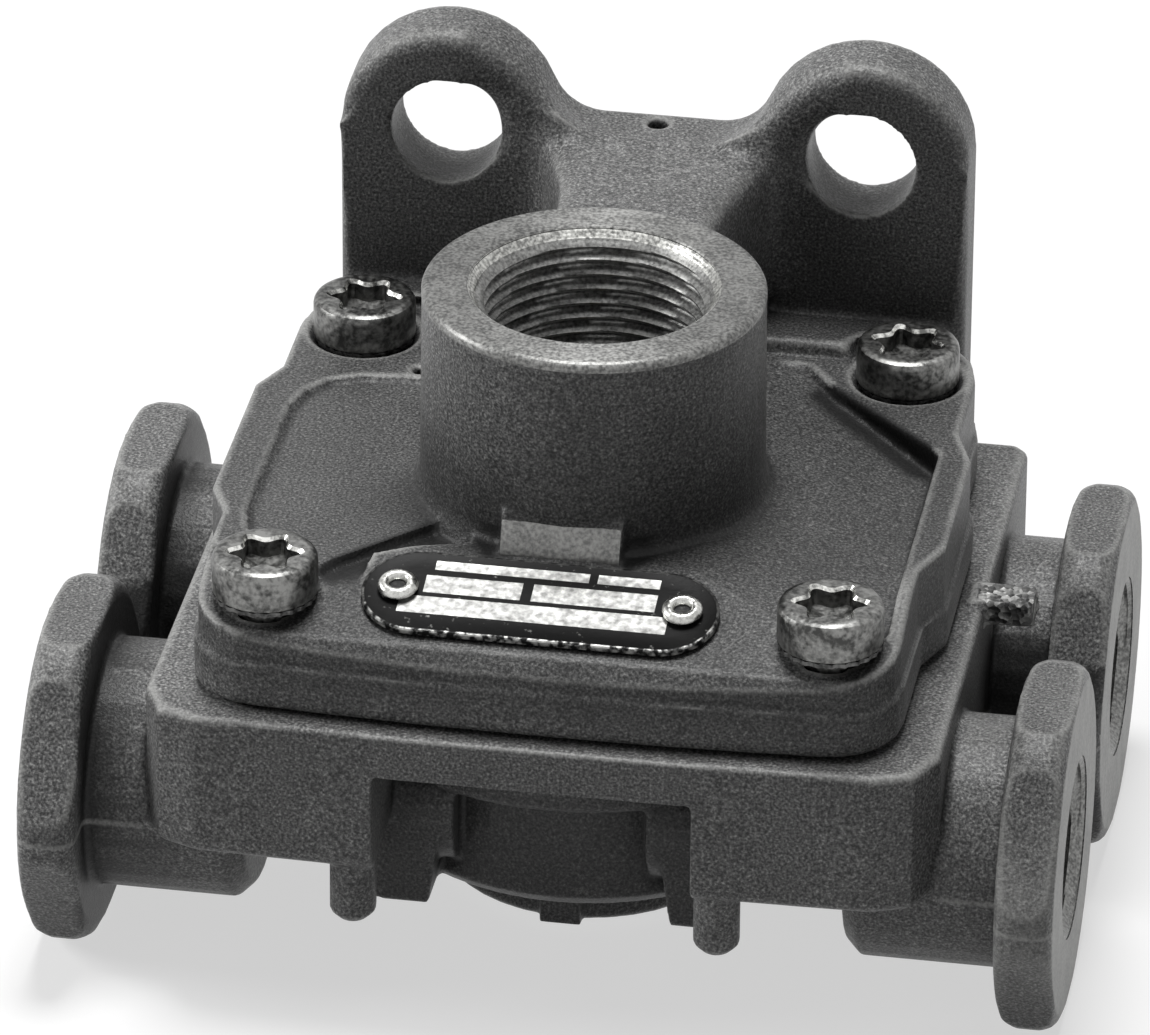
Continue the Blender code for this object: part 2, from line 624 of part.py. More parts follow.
def build_plate_group():
    """Name plate and its two rivets."""
    r = PLATE_WIDTH / 2
    run = PLATE_LENGTH / 2 - r
    mid = plate_middle()
    outline = arc(run, 0, r, -90, 90, 13) + arc(-run, 0, r, 90, 270, 13)
    plate = prism("nameplate", outline, GAP, GAP + PLATE_SHEET, round_top=0.15, steps=1)
    for x in (-RIVET_X, RIVET_X):
        cut(plate, turned("hole", [(0, -1), (RIVET_PIN_R + GAP, -1), (RIVET_PIN_R + GAP, 2),
                                   (0, 2)], 16, centre=(x, 0, 0)))
    place_on_apron(plate, PLATE_X, mid)
    made = [plate]
    for k, x in enumerate((-RIVET_X, RIVET_X)):
        base = GAP + PLATE_SHEET + GAP
        rivet = turned(f"nameplate_rivet_{k + 1}",
                       [(0, -2.4), (RIVET_PIN_R, -2.4), (RIVET_PIN_R, base), (RIVET_R, base),
                        (RIVET_R * 0.86, base + 0.45), (RIVET_R * 0.5, base + 0.8),
                        (0, base + 0.9)], 20)
        place_on_apron(rivet, PLATE_X + x, mid)
        made.append(rivet)
    return made


def build_screws():
    """Four cover screws with socket heads and the washers under them."""
    screws = []
    washers = []
    for k, (x, y, seat) in enumerate(screw_places()):
        under = seat + GAP + WASHER_THICK + GAP
        top = under + SCREW_HEAD_H
        screw = turned(f"cover_screw_{k + 1}",
                       [(0, SCREW_END), (SCREW_R - 0.7, SCREW_END), (SCREW_R, SCREW_END + 0.7),
                        (SCREW_R, under), (SCREW_HEAD_R, under), (SCREW_HEAD_R, top - 0.7),
                        (SCREW_HEAD_R - 0.25, top - 0.25), (SCREW_HEAD_R - 0.8, top), (0, top)], 24,
                       centre=(x, y, 0))
        star = []
        for i in range(24):
            angle = 2 * math.pi * i / 24
            reach = 2.9 if i % 4 in (0, 1) else 2.1
            star.append((x + reach * math.cos(angle), y + reach * math.sin(angle)))
        cut(screw, prism("socket", star, top - 2.0, top + 1))
        screws.append(screw)
        low = seat + GAP
        inner = SCREW_R + GAP + 0.1
        washers.append(turned(f"lock_washer_{k + 1}",
                              [(inner, low), (WASHER_R, low), (WASHER_R, low + WASHER_THICK),
                               (inner, low + WASHER_THICK)], 24, centre=(x, y, 0)))
    return screws, washers


def build_inner_parts():
    """Seal, diaphragm group, spring and exhaust flap group."""
    ring = [(SEAL_R + SEAL_SECTION_R * math.cos(a), FLANGE_TOP - 0.8 + SEAL_SECTION_R * math.sin(a))
            for a in np.linspace(0, 2 * math.pi, 8, endpoint=False)]
    seal = turned("cover_seal", ring, 40)
    top = INLET_SEAT_Z - GAP
    low = top - DIAPHRAGM_THICK
    hole = STEM_R + GAP
    diaphragm = turned("diaphragm", [(hole, low), (DIAPHRAGM_R - 3, low), (DIAPHRAGM_R, low + 0.7),
                                     (DIAPHRAGM_R, low + 1.5), (DIAPHRAGM_R - 3.5, top),
                                     (hole, top)], 40)
    plate_top = low - GAP
    plate_low = plate_top - PLATE_THICK
    cap = top + GAP
    spring_seat = turned("spring_seat", [(0, STEM_END), (STEM_R - 0.5, STEM_END), (STEM_R, STEM_END + 0.6),
                                         (STEM_R, plate_low), (PLATE_R, plate_low),
                                         (PLATE_R, plate_top), (STEM_R, plate_top), (STEM_R, cap),
                                         (STEM_R + 1.6, cap), (STEM_R + 1.6, cap + 0.8),
                                         (0, cap + 0.8)], 24)
    z0 = HUB_TOP + GAP + SPRING_WIRE_R
    z1 = plate_low - GAP - SPRING_WIRE_R
    bm = bmesh.new()
    steps = int(SPRING_TURNS * 12)
    rings = []
    for i in range(steps + 1):
        t = i / steps
        angle = 2 * math.pi * SPRING_TURNS * t
        rise = z0 + (z1 - z0) * t
        across = Vector((math.cos(angle), math.sin(angle), 0))
        rings.append([bm.verts.new(across * (SPRING_R + SPRING_WIRE_R * math.cos(b))
                                   + Vector((0, 0, rise + SPRING_WIRE_R * math.sin(b))))
                      for b in np.linspace(0, 2 * math.pi, 5, endpoint=False)])
    for a, b in zip(rings, rings[1:]):
        for k in range(5):
            j = (k + 1) % 5
            bm.faces.new((a[k], b[k], b[j], a[j]))
    bm.faces.new(rings[0])
    bm.faces.new(rings[-1][::-1])
    spring = add_object("return_spring", bm)
    flap_top = EXHAUST_SHOULDER - GAP
    flap_low = flap_top - FLAP_THICK
    flap = turned("exhaust_flap", [(FLAP_PIN_R + GAP, flap_low), (FLAP_R - 0.6, flap_low),
                                   (FLAP_R, flap_low + 0.5), (FLAP_R, flap_top),
                                   (FLAP_PIN_R + GAP, flap_top)], 32)
    washer_top = flap_low - FLAP_TRAVEL - GAP
    washer_low = washer_top - FLAP_WASHER_THICK
    washer = turned("flap_washer", [(FLAP_PIN_R + GAP, washer_low), (FLAP_WASHER_R, washer_low),
                                    (FLAP_WASHER_R, washer_top), (FLAP_PIN_R + GAP, washer_top)], 24)
    head = washer_low - GAP
    pin = turned("flap_pin", [(0, head - 1.4), (1.9, head - 1.4), (2.6, head - 0.8), (2.6, head),
                              (FLAP_PIN_R, head), (FLAP_PIN_R, -2.3), (0, -2.3)], 24)
    return seal, diaphragm, spring_seat, spring, flap, washer, pin


def finish(item, name):
    """Gives a part its material and shading, and brings it from millimetres to metres."""
    item.data.materials.clear()
    item.data.materials.append(material(name))
    for polygon in item.data.polygons:
        polygon.material_index = 0
    bm = bmesh.new()
    bm.from_mesh(item.data)
    bmesh.ops.triangulate(bm, faces=[f for f in bm.faces if len(f.verts) > 4])
    bmesh.ops.scale(bm, vec=(MM, MM, MM), verts=bm.verts)
    bm.to_mesh(item.data)
    bm.free()
    item.data.shade_smooth()
    item.data.set_sharp_from_angle(angle=math.radians(32))


def main():
    """Builds the valve and centres it over the origin."""
    clear_scene()
    housing = build_housing()
    cover = build_cover()
    plate, rivet_1, rivet_2 = build_plate_group()
    screws, washers = build_screws()
    seal, diaphragm, spring_seat, spring, flap, flap_washer, pin = build_inner_parts()
    looks = [(housing, "cast_aluminium"), (cover, "cast_aluminium"), (plate, "anodised_sheet"),
             (rivet_1, "drawn_aluminium"), (rivet_2, "drawn_aluminium"), (seal, "seal_rubber"),
             (diaphragm, "moulded_rubber"), (spring_seat, "turned_brass"),
             (spring, "spring_steel"), (flap, "moulded_rubber"),
             (flap_washer, "zinc_plated_steel"), (pin, "zinc_plated_steel")]
    looks += [(item, "zinc_plated_steel") for item in screws]
    looks += [(item, "phosphated_steel") for item in washers]
    for item, name in looks:
        finish(item, name)
    flat = HEX_R * math.cos(math.radians(30))
    front = FLANGE_HALF_Y + FLANGE_BOW
    front = max(front, PORT_PITCH / 2 + HEX_TURN_R)
    back = EAR_FRONT_Y + EAR_THICK
    frame = bpy.data.objects.new("valve", None)
    bpy.context.scene.collection.objects.link(frame)
    frame.location = Vector((0, (front - back) / 2, flat)) * MM
    for item, _ in looks:
        item.parent = frame
    bpy.context.view_layer.update()
    for item, _ in looks:
        print(item.name, len(item.data.polygons))


main()
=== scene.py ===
"""Looks of a pneumatic quick exhaust valve: cast housing and cover, screws, plate and inner parts."""
from __future__ import annotations

import logging
import math
from dataclasses import dataclass
from enum import Enum
from itertools import product
from typing import Any, Callable, Optional, Sequence
import bmesh
import bpy
import numpy as np
from mathutils import Matrix, Vector, noise


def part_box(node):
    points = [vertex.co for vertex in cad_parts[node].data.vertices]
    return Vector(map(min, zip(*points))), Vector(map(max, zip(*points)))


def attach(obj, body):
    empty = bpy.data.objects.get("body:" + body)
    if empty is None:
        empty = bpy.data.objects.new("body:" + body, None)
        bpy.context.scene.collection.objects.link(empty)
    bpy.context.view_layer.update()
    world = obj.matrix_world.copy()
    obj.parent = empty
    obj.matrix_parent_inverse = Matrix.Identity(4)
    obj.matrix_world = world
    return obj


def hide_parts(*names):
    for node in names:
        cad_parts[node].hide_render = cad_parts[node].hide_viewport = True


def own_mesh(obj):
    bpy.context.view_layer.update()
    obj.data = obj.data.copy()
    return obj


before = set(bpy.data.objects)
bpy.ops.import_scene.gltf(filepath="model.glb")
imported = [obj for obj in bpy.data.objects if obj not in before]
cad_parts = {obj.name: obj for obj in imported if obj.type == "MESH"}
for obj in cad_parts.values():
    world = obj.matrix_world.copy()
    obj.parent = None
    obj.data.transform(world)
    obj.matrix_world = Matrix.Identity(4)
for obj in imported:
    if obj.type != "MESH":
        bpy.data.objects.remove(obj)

LOG = logging.getLogger("quick_exhaust_valve")
MM = 0.001


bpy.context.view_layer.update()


class Body(Enum):
    """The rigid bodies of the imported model."""

    VALVE = "valve_body"
    DIAPHRAGM = "diaphragm_group"
    FLAP = "flap"


@dataclass(frozen=True)
class Datum:
    """Where the supply axis and the delivery port axes lie, in millimetres."""

    axis_y: float
    port_z: float

    @classmethod
    def from_frame(cls) -> "Datum":
        """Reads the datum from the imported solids: the diaphragm's top lies 17.3 mm over the ports."""
        low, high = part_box("diaphragm")
        return cls(axis_y=(low[1] + high[1]) / 2 / MM, port_z=high[2] / MM - 17.3)

    def point(self, x: float, y: float, z: float) -> Vector:
        """Turns a point counted from the datum into the row frame, in metres."""
        return Vector((x, y + self.axis_y, z + self.port_z)) * MM

    def at(self, x: float = 0.0, y: float = 0.0, z: float = 0.0, degrees: float = 0.0,
           axis: str = "Z") -> Matrix:
        """Returns the place of a piece: a point counted from the datum, and a turn about one axis."""
        return Matrix.Translation(self.point(x, y, z)) @ Matrix.Rotation(math.radians(degrees), 4, axis)

    def count(self, co: Any) -> Any:
        """Turns a point or an array of points, in metres, into millimetres from the datum."""
        return np.asarray(co) / MM - (0.0, self.axis_y, self.port_z)


DATUM = Datum.from_frame()


# shader nodes and finishes


def linear(code: str) -> tuple[float, float, float, float]:
    """Turns an sRGB hex colour into linear RGBA.

    Args:
        code: a hash and six hex digits.

    Returns:
        Red, green, blue and alpha in scene-linear values.
    """
    out = []
    for i in (1, 3, 5):
        c = int(code[i:i + 2], 16) / 255
        out.append(c / 12.92 if c <= 0.04045 else ((c + 0.055) / 1.055) ** 2.4)
    return out[0], out[1], out[2], 1.0


def feed(node: bpy.types.Node, feeds: dict[Any, Any]) -> None:
    """Fills or links a node's inputs.

    Args:
        node: the node.
        feeds: input name or number to a value, an output socket, or a node whose first output in
            use is meant.
    """
    for key, value in feeds.items():
        if isinstance(value, bpy.types.Node):
            value = next(out for out in value.outputs if out.enabled)
        if isinstance(value, bpy.types.NodeSocket):
            node.id_data.links.new(value, node.inputs[key])
        else:
            node.inputs[key].default_value = value


def add(tree: bpy.types.NodeTree, kind: str, feeds: Optional[dict[Any, Any]] = None,
        stops: Sequence[tuple[float, str]] = (), **settings: Any) -> bpy.types.Node:
    """Adds one node with its properties, inputs and, on a colour ramp, its stops.

    Args:
        tree: the node tree to add to.
        kind: the node's type name.
        feeds: what its inputs get, as feed takes it.
        stops: position and sRGB hex colour of each stop of a colour ramp, in order.
        **settings: properties of the node.

    Returns:
        The new node.
    """
    made = tree.nodes.new(kind)
    for name, value in settings.items():
        setattr(made, name, value)
    feed(made, feeds or {})
    for index, (position, code) in enumerate(stops):
        ends = {0: 0, len(stops) - 1: -1}
        elements = made.color_ramp.elements
        stop = elements[ends[index]] if index in ends else elements.new(position)
        stop.position, stop.color = position, linear(code)
    return made


@dataclass(frozen=True)
class Finish:
    """A material that is made once and shared."""

    name: str
    slot: str

    def paint(self, tree: bpy.types.NodeTree, shader: bpy.types.Node) -> None:
        """Adds the finish's own nodes.

        Args:
            tree: the material's node tree.
            shader: its Principled BSDF node.
        """
        raise NotImplementedError

    def material(self) -> bpy.types.Material:
        """Returns the material, built on first use."""
        found = bpy.data.materials.get(self.name)
        if found is None:
            found = bpy.data.materials.new(self.name)
            found.use_nodes = True
            self.paint(found.node_tree, found.node_tree.nodes["Principled BSDF"])
        return found


@dataclass(frozen=True)
class DieCastAluminium(Finish):
    """Pressure die-cast aluminium, tumbled and darkened: dull, finely grained, lighter on its rims from
    wear and painted highlight, with painted shade in hollows and on the cover's fields.
    """

    tones: tuple[tuple[float, str], ...] = ((0.33, "#424242"), (0.48, "#6c6c6c"),
                                            (0.62, "#949493"), (0.74, "#c8c8c6"))
    clouds: tuple[tuple[float, str], ...] = ((0.3, "#e2e2e2"), (0.5, "#f2f2f2"), (0.7, "#ffffff"))
    # painted shade: this ramp darkens the colour in the band of height of the cover's fields, where the
    # boss and ears would shade them
    height_shade_stops: tuple[tuple[float, str], ...] = ((0.0, "#ffffff"), (0.3, "#ffffff"), (0.37, "#cacaca"),
                                             (0.56, "#c4c4c4"), (0.82, "#f4f4f4"))
    shade_height_mm: float = 50.0
    # rim: rims lighter from wear and a painted highlight; the next colour is painted shade in hollows
    rim: str = "#a8a8a6"
    hollow_shade: str = "#1c1c1c"
    seam: str = "#b4b4b2"
    grain_mm: float = 0.27
    mottle_mm: float = 9.0
    roughness: float = 0.4
    seam_from_mm: float = 37.2

    def paint(self, tree: bpy.types.NodeTree, shader: bpy.types.Node) -> None:
        """Adds mottling, sand-like grain, rims lighter from wear and painted highlight, painted shade in
        hollows, along listed lines and in a band of height, and the die's parting seam.

        The grain is drawn as coarse as the photograph shows it.

        Args:
            tree: the material's node tree.
            shader: its Principled BSDF node.
        """
        place = add(tree, "ShaderNodeTexCoord").outputs["Object"]
        grain, mottle = (add(tree, "ShaderNodeTexNoise", {"Vector": place, "Scale": 1 / (size * MM),
                                                          "Detail": detail, "Roughness": 0.6})
                         for size, detail in ((self.grain_mm, 2.0), (self.mottle_mm, 5.0)))
        wear_light_shade = add(tree, "ShaderNodeAttribute", attribute_name="rim_wear_light_shade").outputs["Fac"]
        parts = add(tree, "ShaderNodeSeparateXYZ", {"Vector": place}).outputs
        height = add(tree, "ShaderNodeMath", {0: parts["Z"], 1: DATUM.port_z * MM},
                     operation="SUBTRACT")
        # painted shade by height, through the ramp below: the cover's fields come out darker
        level = add(tree, "ShaderNodeMapRange",
                    {"Value": height, "From Max": self.shade_height_mm * MM})
        shade = add(tree, "ShaderNodeValToRGB", {"Fac": grain}, self.tones)
        for source, stops in ((mottle, self.clouds), (level, self.height_shade_stops)):
            layer = add(tree, "ShaderNodeValToRGB", {"Fac": source}, stops)
            shade = add(tree, "ShaderNodeMix", {"Factor": 1.0, 6: shade, 7: layer},
                        data_type="RGBA", blend_type="MULTIPLY")
        # rims lighter from wear and a painted highlight; hollows darker as painted shade
        worn_and_lit = add(tree, "ShaderNodeMapRange", {"Value": wear_light_shade, "From Min": 0.58, "From Max": 0.97})
        patchy = add(tree, "ShaderNodeMath", {0: grain, 1: 0.15}, operation="ADD")
        scuffed_and_lit = add(tree, "ShaderNodeMath", {0: worn_and_lit, 1: patchy}, operation="MULTIPLY")
        hollow = add(tree, "ShaderNodeMapRange",
                     {"Value": wear_light_shade, "From Min": 0.45, "From Max": 0.1, "To Max": 0.92})
        off = add(tree, "ShaderNodeMath", {0: height}, operation="ABSOLUTE")
        line = add(tree, "ShaderNodeMapRange",
                   {"Value": off, "From Min": 0.4 * MM, "From Max": 0.12 * MM})
        outward = add(tree, "ShaderNodeMath", {0: parts["X"]}, operation="ABSOLUTE")
        beyond = add(tree, "ShaderNodeMath", {0: outward, 1: self.seam_from_mm * MM},
                     operation="GREATER_THAN")
        seam = add(tree, "ShaderNodeMath", {0: line, 1: beyond}, operation="MULTIPLY")
        scratchy = add(tree, "ShaderNodeMath", {0: seam, 1: grain}, operation="MULTIPLY")
        for share, code in ((scuffed_and_lit, self.rim), (hollow, self.hollow_shade), (scratchy, self.seam)):
            shade = add(tree, "ShaderNodeMix", {"Factor": share, 6: shade, 7: linear(code)},
                        data_type="RGBA")
        rough = add(tree, "ShaderNodeMapRange", {"Value": mottle, "To Min": self.roughness - 0.05,
                                                 "To Max": self.roughness + 0.07})
        raised = add(tree, "ShaderNodeMath", {0: seam, 1: 1.2, 2: grain}, operation="MULTIPLY_ADD")
        bump = add(tree, "ShaderNodeBump",
                   {"Height": raised, "Strength": 0.6, "Distance": 0.1 * MM})
        feed(shader, {"Base Color": shade, "Roughness": rough, "Metallic": 0.04,
                      "Specular IOR Level": 0.2, "Normal": bump})


@dataclass(frozen=True)
class TurnedMetal(Finish):
    """Metal cut on a lathe: bright, with fine rings round its axis."""

    colour: str
    shade: str
    ring_mm: float = 0.28
    roughness: float = 0.36
    grit_mm: float = 0.35
    stain_mm: float = 2.6
    metal: float = 1.0
    swirl: float = 0.0

    def paint(self, tree: bpy.types.NodeTree, shader: bpy.types.Node) -> None:
        """Adds tool rings round the supply axis and faint stain marks.

        Args:
            tree: the material's node tree.
            shader: its Principled BSDF node.
        """
        place = add(tree, "ShaderNodeTexCoord").outputs["Object"]
        flat = add(tree, "ShaderNodeMapping", {"Vector": place, "Scale": (1.0, 1.0, 0.0),
                                               "Location": (0.0, -DATUM.axis_y * MM, 0.0)})
        reach = add(tree, "ShaderNodeVectorMath", {0: flat}, operation="LENGTH")
        wave = add(tree, "ShaderNodeMath", {0: reach, 1: 2 * math.pi / (self.ring_mm * MM)},
                   operation="MULTIPLY")
        rings = add(tree, "ShaderNodeMath", {0: wave}, operation="SINE")
        stain, grit = (add(tree, "ShaderNodeTexNoise",
                           {"Vector": place, "Scale": 1 / (size * MM), "Detail": detail})
                       for size, detail in ((self.stain_mm, 5.0), (self.grit_mm, 2.0)))
        faint = add(tree, "ShaderNodeMath", {0: stain, 1: 0.3}, operation="MULTIPLY")
        both = add(tree, "ShaderNodeMath", {0: grit, 1: 0.7, 2: faint}, operation="MULTIPLY_ADD")
        tone = add(tree, "ShaderNodeValToRGB", {"Fac": both},
                   ((0.38, self.shade), (0.62, self.colour)))
        rough = add(tree, "ShaderNodeMapRange", {"Value": grit, "To Min": self.roughness - 0.08,
                                                 "To Max": self.roughness + 0.12})
        relief = add(tree, "ShaderNodeMath", {0: rings, 1: 0.35, 2: grit}, operation="MULTIPLY_ADD")
        bump = add(tree, "ShaderNodeBump",
                   {"Height": relief, "Strength": 0.35, "Distance": 0.04 * MM})
        feed(shader, {"Base Color": tone, "Metallic": self.metal, "Roughness": rough,
                      "Normal": bump})
        if self.swirl:
            around = add(tree, "ShaderNodeTangent", direction_type="RADIAL", axis="Z")
            feed(shader, {"Anisotropic": self.swirl, "Anisotropic Rotation": 0.25,
                          "Tangent": around})


@dataclass(frozen=True)
class TornAluminium(Finish):
    """Aluminium broken off at the gate: bright crystals between dark pits."""

    crystal_mm: float = 0.55

    def paint(self, tree: bpy.types.NodeTree, shader: bpy.types.Node) -> None:
        """Adds a crystalline break.

        Args:
            tree: the material's node tree.
            shader: its Principled BSDF node.
        """
        place = add(tree, "ShaderNodeTexCoord").outputs["Object"]
        cells = add(tree, "ShaderNodeTexVoronoi",
                    {"Vector": place, "Scale": 1 / (self.crystal_mm * MM)}).outputs
        tone = add(tree, "ShaderNodeValToRGB", {"Fac": cells["Color"]},
                   ((0.15, "#323232"), (0.5, "#6e6e6d"), (0.9, "#c8c8c6")))
        bump = add(tree, "ShaderNodeBump",
                   {"Height": cells["Distance"], "Strength": 0.9, "Distance": 0.25 * MM})
        feed(shader, {"Base Color": tone, "Metallic": 0.2, "Specular IOR Level": 0.3,
                      "Roughness": 0.46, "Normal": bump})


@dataclass(frozen=True)
class ZincPlatedSteel(Finish):
    """Cold-headed steel with bright zinc: mirror-like patches broken by fine spangle and handling marks."""

    colour: str = "#8c8c8a"
    dull: str = "#454544"
    roughness: float = 0.34
    grain_mm: float = 0.5
    patch_mm: float = 2.2

    def paint(self, tree: bpy.types.NodeTree, shader: bpy.types.Node) -> None:
        """Adds spangle, dulled patches and small dents.

        Args:
            tree: the material's node tree.
            shader: its Principled BSDF node.
        """
        place = add(tree, "ShaderNodeTexCoord").outputs["Object"]
        spangle, patch = (add(tree, "ShaderNodeTexNoise",
                              {"Vector": place, "Scale": 1 / (size * MM), "Detail": detail})
                          for size, detail in ((self.grain_mm, 3.0), (self.patch_mm, 4.0)))
        both = add(tree, "ShaderNodeMath", {0: patch, 1: spangle}, operation="ADD")
        half = add(tree, "ShaderNodeMath", {0: both, 1: 0.5}, operation="MULTIPLY")
        tone = add(tree, "ShaderNodeValToRGB", {"Fac": half}, ((0.4, self.dull), (0.6, self.colour)))
        rough = add(tree, "ShaderNodeMapRange", {"Value": spangle, "To Min": self.roughness - 0.1,
                                                 "To Max": self.roughness + 0.16})
        bump = add(tree, "ShaderNodeBump",
                   {"Height": spangle, "Strength": 0.5, "Distance": 0.06 * MM})
        feed(shader, {"Base Color": tone, "Metallic": 1.0, "Roughness": rough, "Normal": bump})


@dataclass(frozen=True)
class PhosphatedSteel(Finish):
    """Stamped steel with a dark phosphate coat: nearly black, with rubbed grey tips."""

    soot_mm: float = 0.35

    def paint(self, tree: bpy.types.NodeTree, shader: bpy.types.Node) -> None:
        """Adds the sooty coat.

        Args:
            tree: the material's node tree.
            shader: its Principled BSDF node.
        """
        place = add(tree, "ShaderNodeTexCoord").outputs["Object"]
        soot = add(tree, "ShaderNodeTexNoise",
                   {"Vector": place, "Scale": 1 / (self.soot_mm * MM), "Detail": 3.0})
        tone = add(tree, "ShaderNodeValToRGB", {"Fac": soot},
                   ((0.35, "#141414"), (0.6, "#2a2a2a"), (0.75, "#6a6a68")))
        bump = add(tree, "ShaderNodeBump", {"Height": soot, "Strength": 0.3, "Distance": 0.04 * MM})
        feed(shader, {"Base Color": tone, "Metallic": 0.6, "Roughness": 0.55, "Normal": bump})


@dataclass(frozen=True)
class PrintedSheet(Finish):
    """Anodised sheet printed black: satin black field, bare metal rim and plain bare bars."""

    black: str = "#0c0c0c"
    bare: tuple[tuple[float, str], ...] = ((0.3, "#7c7c7a"), (0.5, "#adadab"), (0.68, "#dcdcd8"))
    length_mm: float = 33.2
    width_mm: float = 10.7
    rim_mm: float = 0.3
    scuff_mm: float = 0.7
    bars: tuple[tuple[float, float, float, float], ...] = (
        (-10.3, 4.0, 3.0, 4.2),
        (4.8, 10.6, 3.0, 4.2),
        (-10.9, -1.9, -0.1, 2.2),
        (-0.9, 10.6, -0.1, 2.2),
        (-12.9, 12.0, -2.95, -0.65),
    )

    def paint(self, tree: bpy.types.NodeTree, shader: bpy.types.Node) -> None:
        """Draws the chipped rim and the bars from the plate's own UV map, in millimetres.

        Args:
            tree: the material's node tree.
            shader: its Principled BSDF node.
        """
        spot = add(tree, "ShaderNodeUVMap", uv_map="plate_mm")
        parts = add(tree, "ShaderNodeSeparateXYZ", {"Vector": spot}).outputs
        x, y = parts["X"], parts["Y"]
        place = add(tree, "ShaderNodeTexCoord").outputs["Object"]
        scuff = add(tree, "ShaderNodeTexNoise",
                    {"Vector": place, "Scale": 1 / (self.scuff_mm * MM), "Detail": 4.0})
        radius = self.width_mm / 2
        out_x = add(tree, "ShaderNodeMath", {0: x}, operation="ABSOLUTE")
        past = add(tree, "ShaderNodeMath", {0: out_x, 1: self.length_mm / 2 - radius},
                   operation="SUBTRACT")
        ahead = add(tree, "ShaderNodeMath", {0: past, 1: 0.0}, operation="MAXIMUM")
        bend = add(tree, "ShaderNodeCombineXYZ", {"X": ahead, "Y": y})
        reach = add(tree, "ShaderNodeVectorMath", {0: bend}, operation="LENGTH")
        edge = add(tree, "ShaderNodeMath", {0: reach, 1: radius - self.rim_mm},
                   operation="GREATER_THAN")
        lower = add(tree, "ShaderNodeMapRange",
                    {"Value": y, "From Min": 0.5, "From Max": -2.5, "To Min": 0.12, "To Max": 0.75})
        chipped = add(tree, "ShaderNodeMapRange",
                      {"Value": scuff, "From Min": 0.42, "From Max": 0.56})
        mask = edge
        for factor in (lower, chipped):
            mask = add(tree, "ShaderNodeMath", {0: mask, 1: factor}, operation="MULTIPLY")
        for x0, x1, y0, y1 in self.bars:
            inside = 1.0
            for value, limit, mode in ((x, x0, "GREATER_THAN"), (x, x1, "LESS_THAN"),
                                       (y, y0, "GREATER_THAN"), (y, y1, "LESS_THAN")):
                side = add(tree, "ShaderNodeMath", {0: value, 1: limit}, operation=mode)
                inside = add(tree, "ShaderNodeMath", {0: inside, 1: side}, operation="MULTIPLY")
            mask = add(tree, "ShaderNodeMath", {0: mask, 1: inside}, operation="MAXIMUM")
        rubbed = add(tree, "ShaderNodeMapRange",
                     {"Value": scuff, "From Min": 0.66, "From Max": 0.8, "To Max": 0.5})
        shown = add(tree, "ShaderNodeMath", {0: mask, 1: rubbed}, operation="MAXIMUM")
        bright = add(tree, "ShaderNodeValToRGB", {"Fac": scuff}, self.bare)
        tone = add(tree, "ShaderNodeMix", {"Factor": shown, 6: linear(self.black), 7: bright},
                   data_type="RGBA")
        metal = add(tree, "ShaderNodeMath", {0: shown, 1: 0.7}, operation="MULTIPLY")
        raised = add(tree, "ShaderNodeMath", {0: mask, 1: -0.6, 2: scuff}, operation="MULTIPLY_ADD")
        bump = add(tree, "ShaderNodeBump",
                   {"Height": raised, "Strength": 0.35, "Distance": 0.06 * MM})
        feed(shader, {"Base Color": tone, "Metallic": metal, "Roughness": 0.42,
                      "Specular IOR Level": 0.12, "Normal": bump})


@dataclass(frozen=True)
class MouldedRubber(Finish):
    """Nitrile rubber from a blasted mould: deep grey, silky, with a dusty bloom."""

    colour: str = "#1b1b1c"
    bloom: str = "#303031"
    roughness: float = 0.62
    dust_mm: float = 3.0
    skin_mm: float = 0.3

    def paint(self, tree: bpy.types.NodeTree, shader: bpy.types.Node) -> None:
        """Adds bloom and the mould's fine texture.

        Args:
            tree: the material's node tree.
            shader: its Principled BSDF node.
        """
        place = add(tree, "ShaderNodeTexCoord").outputs["Object"]
        dust, skin = (add(tree, "ShaderNodeTexNoise",
                          {"Vector": place, "Scale": 1 / (size * MM), "Detail": detail})
                      for size, detail in ((self.dust_mm, 5.0), (self.skin_mm, 2.0)))
        tone = add(tree, "ShaderNodeValToRGB", {"Fac": dust},
                   ((0.35, self.colour), (0.7, self.bloom)))
        rough = add(tree, "ShaderNodeMapRange", {"Value": skin, "To Min": self.roughness - 0.08,
                                                 "To Max": self.roughness + 0.1})
        bump = add(tree, "ShaderNodeBump", {"Height": skin, "Strength": 0.3, "Distance": 0.03 * MM})
        feed(shader, {"Base Color": tone, "Roughness": rough, "Normal": bump})


CAST = DieCastAluminium("die_cast_aluminium_tumbled", "cast_aluminium")
FACED = TurnedMetal("aluminium_turned_face", "cast_aluminium", colour="#8c8c8a", shade="#626261",
                    roughness=0.46, metal=0.8)
SWIRLED = TurnedMetal("aluminium_turned_boss_face", "cast_aluminium", colour="#929290",
                      shade="#545453", roughness=0.42, metal=0.8, swirl=0.6)
TAPPED = TurnedMetal("aluminium_tapped_thread", "cast_aluminium", colour="#949492",
                     shade="#5c5c5b", ring_mm=0.5, roughness=0.4, metal=0.85)
# the supply port's chamfer: fresh-cut metal, made brighter as a painted highlight
FRESH_CUT_HIGHLIGHT = TurnedMetal("aluminium_fresh_chamfer_highlight", "cast_aluminium", colour="#cacac6",
                    shade="#747472", roughness=0.34)
TORN = TornAluminium("aluminium_torn_gate", "cast_aluminium")
ZINC = ZincPlatedSteel("steel_zinc_plated_bright", "zinc_plated_steel")
